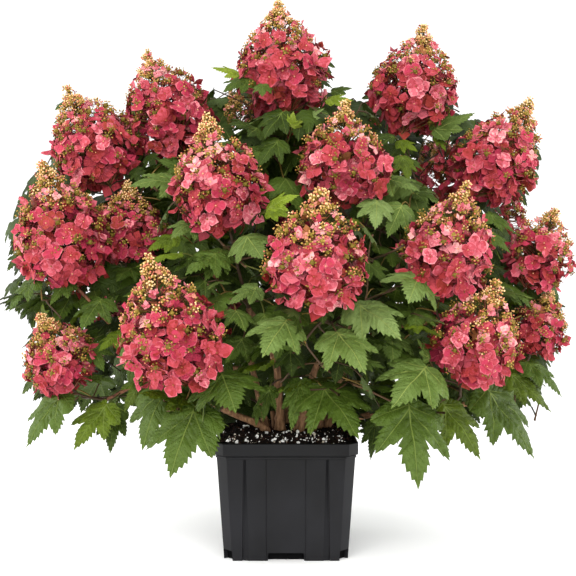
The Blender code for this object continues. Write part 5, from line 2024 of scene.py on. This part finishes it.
for index, name in enumerate(HEAD_AT):
    make_head(name, index)
print("florets:", {k: p.t for k, p in FLOWER_PIECES.items()},
      "buds:", {k: p.t for k, p in BUDS.items()},
      "stalks:", {k: p.t for k, p in STALKS.items()})

# ---------------------------------------------------------------- twigs mesh
TWIG_PIECE = Piece()


def add_curves(rows, n, sides, piece):
    if not rows:
        return
    P = np.array([resample(p, n) for p, _, _ in rows])
    R = np.array([np.interp(np.linspace(0, 1, n), np.linspace(0, 1, len(r)), r)
                  for _, r, _ in rows])
    v, f, per = tubes(P, R, sides)
    piece.add(v, f, np.repeat([t for _, _, t in rows], per))


def trimmed(rows, behind=False, whole=False):
    """Cut off a twig's bare tip where it would stand alone against the sky, or
    in front of a leaf that hangs from it."""
    out = []
    grid = COVERED[0]
    for p, r, t in rows:
        p = np.asarray(p, float)
        px = np.clip(np.rint(to_front(p) * (len(grid) / GRID)).astype(int), 0, len(grid) - 1)
        hid = grid[px[:, 1], px[:, 0]] | ((p[:, 2] < 0.28) & (np.abs(p[:, 0]) < 0.16))
        if behind:
            cell = np.clip(np.rint(to_front(p)).astype(int), 0, GRID - 1)
            near = FRONT[cell[:, 1], cell[:, 0]]
            ahead = (near < 8.0) & (p[:, 1] < near + 0.001)
        else:
            ahead = np.zeros(len(p), bool)
        last = len(p) - 1
        if whole:
            # a leaf hangs from it, so it stays whole or goes
            if p[:, 1].mean() < 0.0 or (~hid).mean() < 0.5:
                out.append((p, r, t))
            continue
        while last > 1 and (not hid[last] or ahead[last]):
            last -= 1
        bare = (~hid[2:] & (p[2:, 2] > 0.40)).mean()
        if last >= 3 and bare < 0.34:
            out.append((p[:last + 1], np.asarray(r)[:last + 1] if len(r) == len(p) else r, t))
    return out


def knotted(rows):
    """Shoots swell a little where a leaf pair stands."""
    out = []
    for p, r, t in rows:
        s = np.linspace(0, 1, len(r))
        out.append((p, r * (1.0 + 0.16 * np.maximum(0, np.cos(s * 19.0)) ** 8), t))
    return out


long = [w for w in TWIGS if len(w[0]) > 14]
short = [w for w in TWIGS if len(w[0]) <= 14]
add_curves(knotted(trimmed(long, True)), 22, 7, TWIG_PIECE)
add_curves(knotted(trimmed(short, True)), 12, 6, TWIG_PIECE)
PET_PIECE = Piece()
add_curves(trimmed(PETIOLES, whole=True), 6, 4, PET_PIECE)

# ---------------------------------------------------------------- pot, soil


FLOOR_Z = 0.0200
ARCH_HALF = 0.0300
ARCH_Z = 0.0128
NOTCH_Z = 0.0166
UNDER = POT_H - RIM_BAND


def pot_wall(z):
    k = min(max(z / UNDER, 0.0), 1.0)
    return FOOT_HALF + (WALL_HALF - FOOT_HALF) * k, FOOT_CH + (WALL_CH - FOOT_CH) * k


def pot_inset(half, ch, t):
    return half - t, ch - t * (2.0 - math.sqrt(2.0))


def pot_row(z, half, ch, marks=0.0, recess=0.0, notch=0.0):
    """One ring of the pot's skin: marks scales the flutes and the panel, recess
    is the depth of the arch between the feet, notch that of the corners."""
    k = min(max(z / UNDER, 0.0), 1.0)
    e = 0.00035
    b = half - ch
    outer = 0.0724 + (0.0702 - 0.0724) * k      # the flutes' outer edge
    inner = 0.0622 + (0.0664 - 0.0622) * k      # and inner edge
    panel, lip = 0.0327, 0.0345
    r = 0.0030
    lift = min(max(z - (ARCH_Z - r), 0.0), r)
    arch = ARCH_HALF - (r - math.sqrt(max(r * r - lift * lift, 0.0)))
    d = 0.0011 * marks                          # the panel's depth
    half_cols = [                               # from the middle to the right
        (0.0007, d + recess * 0.80), (0.0011, d + recess),
        (arch - e, d + recess), (arch + e, d),
        (panel - e, d), (panel + e, -0.0009 * marks), (lip - e, -0.0009 * marks),
        (lip + 0.0010, 0.0),
        (inner - e, 0.0), (inner + e, 0.0014 * marks), (outer - e, 0.0036 * marks),
        (outer + e, 0.0), (b - 0.0010, 0.0),
    ]
    cols = [(-x, dd) for x, dd in half_cols[::-1]] + half_cols
    cut = (0.0007, ch * math.sqrt(2.0) - 0.0007)
    out = []
    for q in range(4):
        c, s = ((1, 0), (0, 1), (-1, 0), (0, -1))[q]
        turn = lambda x, y: (x * c - y * s, x * s + y * c, z)
        # the -Y face, left to right, then the chamfer that follows it
        for x, dd in cols:
            out.append(turn(x, -(half - dd)))
        h = math.sqrt(0.5)
        for w in cut:
            x, y = b + w * h, -half + w * h
            out.append(turn(x - notch * h, y + notch * h))
    return out


def build_pot():
    """A square grower's pot with cut corners: proud rim, bead, tapered flutes,
    a framed panel on each face, and feet between arches and corner notches."""
    rows = []
    foot = pot_wall(0.0)
    hollow = (FOOT_HALF - 0.0105, FOOT_CH - 0.004)
    deep, corner = 0.0084, 0.0080
    rows.append(pot_row(NOTCH_Z - 0.0006, *hollow))
    rows.append(pot_row(0.0, *hollow))
    rows.append(pot_row(0.0, foot[0] - 0.0005, foot[1], 0.6, deep, corner))
    for z in (0.0005, 0.0040, 0.0080, ARCH_Z - 0.0030, ARCH_Z - 0.0020, ARCH_Z - 0.0011,
              ARCH_Z - 0.0005, ARCH_Z - 0.0001):
        rows.append(pot_row(z, *pot_wall(z), 1.0, deep, corner))
    for z, cut in ((ARCH_Z + 0.0002, corner), (NOTCH_Z - 0.0002, corner),
                   (NOTCH_Z + 0.0002, 0.0)):
        rows.append(pot_row(z, *pot_wall(z), 1.0, 0.0, cut))
    top = UNDER - 0.0055
    for z in np.linspace(0.026, top - 0.0010, 13):
        rows.append(pot_row(float(z), *pot_wall(z), 1.0))
    rows.append(pot_row(top - 0.0004, *pot_wall(top), 1.0))
    rows.append(pot_row(top, *pot_wall(top), 0.0))
    bead = (WALL_HALF + 0.0013, WALL_CH + 0.0006)
    for z, ring in (
            (UNDER - 0.0046, pot_wall(UNDER - 0.0046)),
            (UNDER - 0.0042, (bead[0] - 0.0003, bead[1])), (UNDER - 0.0036, bead),
            (UNDER - 0.0016, bead), (UNDER - 0.0010, (bead[0] - 0.0004, bead[1])),
            (UNDER - 0.0006, (WALL_HALF + 0.0002, WALL_CH)),
            (UNDER + 0.0002, (WALL_HALF + 0.0002, WALL_CH)),
            (UNDER + 0.0006, (RIM_HALF - 0.0016, RIM_CH + 0.0004)),
            (UNDER + 0.0014, (RIM_HALF - 0.0004, RIM_CH + 0.0001)),
            (UNDER + 0.0026, (RIM_HALF - 0.0002, RIM_CH)),
            (POT_H - 0.0018, (RIM_HALF, RIM_CH)),
            (POT_H - 0.0006, (RIM_HALF - 0.0004, RIM_CH)),
            (POT_H, (RIM_HALF - 0.0015, RIM_CH)),
            (POT_H, pot_inset(RIM_HALF, RIM_CH, 0.0038)),
            (POT_H - 0.0008, pot_inset(RIM_HALF, RIM_CH, 0.0049)),
            (UNDER - 0.002, pot_inset(*pot_wall(UNDER), WALL_T)),
            (FLOOR_Z, pot_inset(*pot_wall(FLOOR_Z), WALL_T))):
        rows.append(pot_row(z, *ring))
    n = len(rows[0])
    verts = [p for row in rows for p in row]
    faces = []
    for k in range(len(rows) - 1):
        for i in range(n):
            j = (i + 1) % n
            faces.append((k * n + i, k * n + j, (k + 1) * n + j, (k + 1) * n + i))
    verts.append((0.0, 0.0, NOTCH_Z - 0.0006))
    verts.append((0.0, 0.0, FLOOR_Z))
    c0, c1 = len(verts) - 2, len(verts) - 1
    last = (len(rows) - 1) * n
    for i in range(n):
        j = (i + 1) % n
        faces.append((j, i, c0))
        faces.append((last + i, last + j, c1))
    mesh = bpy.data.meshes.new("pot_shell")
    mesh.from_pydata(verts, [], faces)
    mesh.validate()
    mesh.update()
    mesh.materials.append(plastic_material())
    # painted shade: the sunk faces of the arches and corner notches get a near-black plastic
    mesh.materials.append(plain("pot_shade", (6, 6, 7), 0.8, 0.05))
    for poly in mesh.polygons:
        row = poly.index // n if poly.index < (len(rows) - 1) * n else -1
        c = poly.center
        ax, ay = abs(c[0]), abs(c[1])
        half, ch = pot_wall(c[2])
        sunk_arch = min(ax, ay) < ARCH_HALF - 0.001 and half - max(ax, ay) > 0.005
        sunk_corner = (2 * half - ch - ax - ay) / math.sqrt(2.0) > 0.0045 and min(ax, ay) > half - ch
        if row < 12 and c[2] < NOTCH_Z - 0.0001 and (sunk_arch or sunk_corner) \
                and max(ax, ay) > FOOT_HALF - 0.03:
            poly.material_index = 1
    mesh.shade_smooth()
    mesh.set_sharp_from_angle(angle=math.radians(58.0))
    obj = bpy.data.objects.new("pot_shell", mesh)
    bpy.context.scene.collection.objects.link(obj)
    mod = obj.modifiers.new("even", 'WEIGHTED_NORMAL')
    mod.keep_sharp = True
    mod.weight = 80
    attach(obj, "root")
    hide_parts("pot")
    print("pot:", len(mesh.polygons), "faces")
    return obj


def octagon_half(x, y, half, ch):
    """Signed distance-like value: below zero inside a chamfered square."""
    ax, ay = np.abs(x), np.abs(y)
    return np.maximum(np.maximum(ax, ay) - half, (ax + ay - (2 * half - ch)) / math.sqrt(2.0))


def soil_height(x, y):
    """Top of the mix: mounded round the canes, low at the wall, crumbly."""
    edge = -octagon_half(x, y, WALL_HALF - WALL_T - 0.001, WALL_CH)
    k = np.clip(edge / 0.040, 0.0, 1.0)
    rise = k * k * (3 - 2 * k)
    z = SOIL_EDGE_Z + (SOIL_Z - SOIL_EDGE_Z) * (0.25 + 0.75 * rise)
    z = z + 0.0012 * np.sin(x * 91 + 1) * np.sin(y * 77) + 0.0010 * np.sin(x * 190 + y * 160)
    z = z + 0.0060 * np.exp(-(((x + 0.070) / 0.028) ** 2 + ((y - 0.02) / 0.035) ** 2))
    return z


def build_soil():
    rng = np.random.default_rng(17)
    piece = Piece()
    n = 72
    half = WALL_HALF - WALL_T - 0.0006
    g = np.linspace(-half, half, n)
    X, Y = np.meshgrid(g, g)
    Z = soil_height(X, Y) + rng.normal(0, 0.0005, X.shape)
    ok = octagon_half(X, Y, half, WALL_CH) < 0.0015
    v = np.stack([X, Y, Z], -1).reshape(-1, 3)
    idx = np.arange(n * n).reshape(n, n)
    a, b, c, d = idx[:-1, :-1], idx[:-1, 1:], idx[1:, 1:], idx[1:, :-1]
    keep = (ok[:-1, :-1] & ok[:-1, 1:] & ok[1:, 1:] & ok[1:, :-1]).ravel()
    f = np.concatenate([np.stack([a, b, c], -1).reshape(-1, 3)[keep],
                        np.stack([a, c, d], -1).reshape(-1, 3)[keep]])
    used = np.unique(f)
    back = np.full(len(v), -1)
    back[used] = np.arange(len(used))
    piece.add(v[used], back[f], 0)

    # bark crumbs: small irregular chips lying on the mix
    cube = np.array([(-1, -1, -1), (1, -1, -1), (1, 1, -1), (-1, 1, -1),
                     (-1, -1, 1), (1, -1, 1), (1, 1, 1), (-1, 1, 1)], float)
    cf = np.array([(0, 2, 1), (0, 3, 2), (4, 5, 6), (4, 6, 7), (0, 1, 5), (0, 5, 4),
                   (1, 2, 6), (1, 6, 5), (2, 3, 7), (2, 7, 6), (3, 0, 4), (3, 4, 7)])

    def scatter(k):
        out = []
        while len(out) < k:
            p = rng.uniform(-half, half, (k, 2))
            p = p[octagon_half(p[:, 0], p[:, 1], half - 0.003, WALL_CH) < 0]
            out += list(p)
        return np.array(out[:k])

    def turns(k, tilt):
        Z = unit(np.array([0.0, 0.0, 1.0]) + rng.normal(0, tilt, (k, 3)))
        X = unit(np.cross(Z, rng.normal(0, 1, (k, 3))))
        return X, np.cross(Z, X), Z

    def chips(k, size, slots, tilt, lift):
        xy = scatter(k)
        X, Y, Z = turns(k, tilt)
        s = np.stack([rng.uniform(*size[0], k), rng.uniform(*size[1], k),
                      rng.uniform(*size[2], k)], -1)
        q = cube[None] * s[:, None] * (1.0 + rng.uniform(-0.35, 0.15, (k, 8, 3)))
        w = q[..., 0:1] * X[:, None] + q[..., 1:2] * Y[:, None] + q[..., 2:3] * Z[:, None]
        z = soil_height(xy[:, 0], xy[:, 1]) + rng.uniform(*lift, k)
        w = w + np.column_stack([xy, z])[:, None]
        f = cf[None] + (np.arange(k) * 8)[:, None, None]
        piece.add(w.reshape(-1, 3), f.reshape(-1, 3), np.repeat(rng.choice(slots, k), 12))

    mm = 0.001
    chips(1100, ((1.6 * mm, 5.2 * mm), (0.6 * mm, 1.9 * mm), (0.3 * mm, 0.9 * mm)),
          (1, 1, 1, 2, 2, 3), 0.45, (-0.4 * mm, 1.8 * mm))
    chips(900, ((0.5 * mm, 1.6 * mm), (0.4 * mm, 1.1 * mm), (0.4 * mm, 0.9 * mm)),
          (1, 1, 2, 2, 3), 0.8, (-0.2 * mm, 1.4 * mm))
    obj = piece.build("potting_mix_surface",
                      [soil_material(), plain("crumb_0", (12, 8, 6), 0.95, 0.12),
                       plain("crumb_1", (27, 17, 12), 0.9, 0.15),
                       plain("crumb_2", (64, 38, 27), 0.85, 0.2)],
                      "potting_mix", ("potting_mix",), smooth=False)

    # white perlite granules
    grains = Piece()
    bm = bmesh.new()
    bmesh.ops.create_icosphere(bm, subdivisions=1, radius=1.0)
    iv = np.array([q.co for q in bm.verts], float)
    jf = np.array([[q.index for q in f.verts] for f in bm.faces])
    bm.free()
    k = 210
    xy = scatter(k)
    # many of them have washed to the front edge
    near = rng.random(k) < 0.50
    xy[near, 1] = np.clip(-0.107 + np.abs(rng.normal(0, 0.022, near.sum())), -0.108, 0.1)
    xy[near, 0] = rng.uniform(-0.098, 0.098, near.sum())
    r = 0.0006 + 0.0019 * rng.random(k) ** 2.4
    v = iv[None] * (1.0 + rng.uniform(-0.28, 0.28, (k, len(iv), 1))) * r[:, None, None]
    v = v * rng.uniform(0.5, 1.7, (k, 1, 3))
    z = soil_height(xy[:, 0], xy[:, 1]) + r * 0.6 + rng.uniform(0.0004, 0.0016, k)
    v = v + np.column_stack([xy, z])[:, None]
    f = jf[None] + (np.arange(k) * len(iv))[:, None, None]
    grains.add(v.reshape(-1, 3), f.reshape(-1, 3),
               np.repeat(rng.choice([0, 0, 0, 1], k), len(jf)))
    grains.build("perlite", [plain("perlite_0", (250, 248, 244), 0.9, 0.2),
                             plain("perlite_1", (206, 194, 178), 0.9, 0.2)],
                 "potting_mix", (), smooth=False)
    return obj


build_pot()
build_soil()

# ------------------------------------------------------------- build pieces
ALL_HEADS = [n for n in HEAD_AT if n not in LATE]
ALL_MASSES = list(MASS_AT)
front_heads = [n for n in ALL_HEADS if HEADS_NP[n][0][1] < -0.09]
rear_heads = [n for n in ALL_HEADS if HEADS_NP[n][0][1] > 0.06]
side_heads = [n for n in ALL_HEADS if n not in front_heads and n not in rear_heads]
FLOWER_PIECES["florets_front"].build("florets_front", FLOWER_MATS, "flower", front_heads)
FLOWER_PIECES["florets_side"].build("florets_side", FLOWER_MATS, "flower", side_heads)
FLOWER_PIECES["florets_rear"].build("florets_rear", FLOWER_MATS, "flower", rear_heads)
for name, piece in BUDS.items():
    piece.build(name, BUD_MATS, "flower")
for name, piece in STALKS.items():
    piece.build(name, STALK_MATS, "flower")

front_masses = ["foliage_skirt_front", "foliage_skirt_front_left",
                "foliage_skirt_front_right", "foliage_mid_front_left",
                "foliage_mid_front_right", "foliage_top"]
left_masses = ["foliage_skirt_left", "foliage_mid_left", "foliage_upper_left"]
right_masses = ["foliage_skirt_right", "foliage_mid_right", "foliage_upper_right"]
rear_masses = [n for n in ALL_MASSES if "rear" in n]
for name, masses in (("leaves_front", front_masses), ("leaves_left", left_masses),
                     ("leaves_right", right_masses), ("leaves_rear", rear_masses)):
    LEAF_PIECES[name].build(name, LEAF_MATS, "leaf", masses)

LIMB_MESH.build("canes", [CANE_MAT], "cane_bark", [n for n in LIMB_AT if n.startswith("cane")])
BOUGH_MESH.build("boughs", [BOUGH_MAT], "bough_bark",
                 [n for n in LIMB_AT if n.startswith("bough")])
TWIG_PIECE.build("shoots", STALK_MATS, "bough_bark")
PET_PIECE.build("leaf_stalks", STALK_MATS, "leaf")

# ------------------------------------------------------- stage, light, camera
floor_mesh = bpy.data.meshes.new("floor")
floor_mesh.from_pydata([(-9, -9, -0.0002), (9, -9, -0.0002), (9, 9, -0.0002),
                        (-9, 9, -0.0002)], [], [(0, 1, 2, 3)])
floor = bpy.data.objects.new("floor", floor_mesh)
floor_mat = plain("floor", (252, 252, 252), 0.9, 0.0)
shader_of(floor_mat).inputs["Emission Color"].default_value = (1.0, 1.0, 1.0, 1.0)
shader_of(floor_mat).inputs["Emission Strength"].default_value = 0.08
floor_mesh.materials.append(floor_mat)
bpy.context.scene.collection.objects.link(floor)

world = bpy.data.worlds.new("studio")
bpy.context.scene.world = world
world.use_nodes = True
world.node_tree.nodes["Background"].inputs["Color"].default_value = (1.0, 1.0, 1.0, 1.0)
world.node_tree.nodes["Background"].inputs["Strength"].default_value = 1.22


def area_light(name, loc, aim, size, power, colour=(1.0, 1.0, 1.0)):
    data = bpy.data.lights.new(name, 'AREA')
    data.shape = 'SQUARE'
    data.size = size
    data.energy = power
    data.color = colour
    obj = bpy.data.objects.new(name, data)
    obj.location = loc
    way = Vector(aim) - Vector(loc)
    obj.rotation_mode = 'QUATERNION'
    obj.rotation_quaternion = way.to_track_quat('-Z', 'Y')
    bpy.context.scene.collection.objects.link(obj)
    return obj


area_light("key", (-1.3, -2.3, 2.2), (0.0, 0.0, 0.45), 2.0, 68.0, (1.0, 0.99, 0.97))
area_light("front", (0.5, -2.8, 0.9), (0.0, 0.0, 0.45), 2.0, 48.0)
area_light("left", (-1.9, 0.1, 0.55), (0.0, 0.0, 0.40), 1.0, 24.0)
area_light("right", (1.9, 0.1, 0.55), (0.0, 0.0, 0.40), 1.0, 24.0)

camera = bpy.data.cameras.new("camera")
camera.sensor_width = 36.0
camera.lens = 36.0 * EYE_F / 576.0
camera.shift_x = 2.0 / 576.0
cam = bpy.data.objects.new("camera", camera)
cam.location = (0.0, -EYE_BACK, EYE_Z)
cam.rotation_euler = (math.radians(90.0), 0.0, 0.0)
bpy.context.scene.collection.objects.link(cam)
bpy.context.scene.camera = cam
bpy.context.scene.view_settings.view_transform = 'Standard'
bpy.context.scene.view_settings.look = 'None'
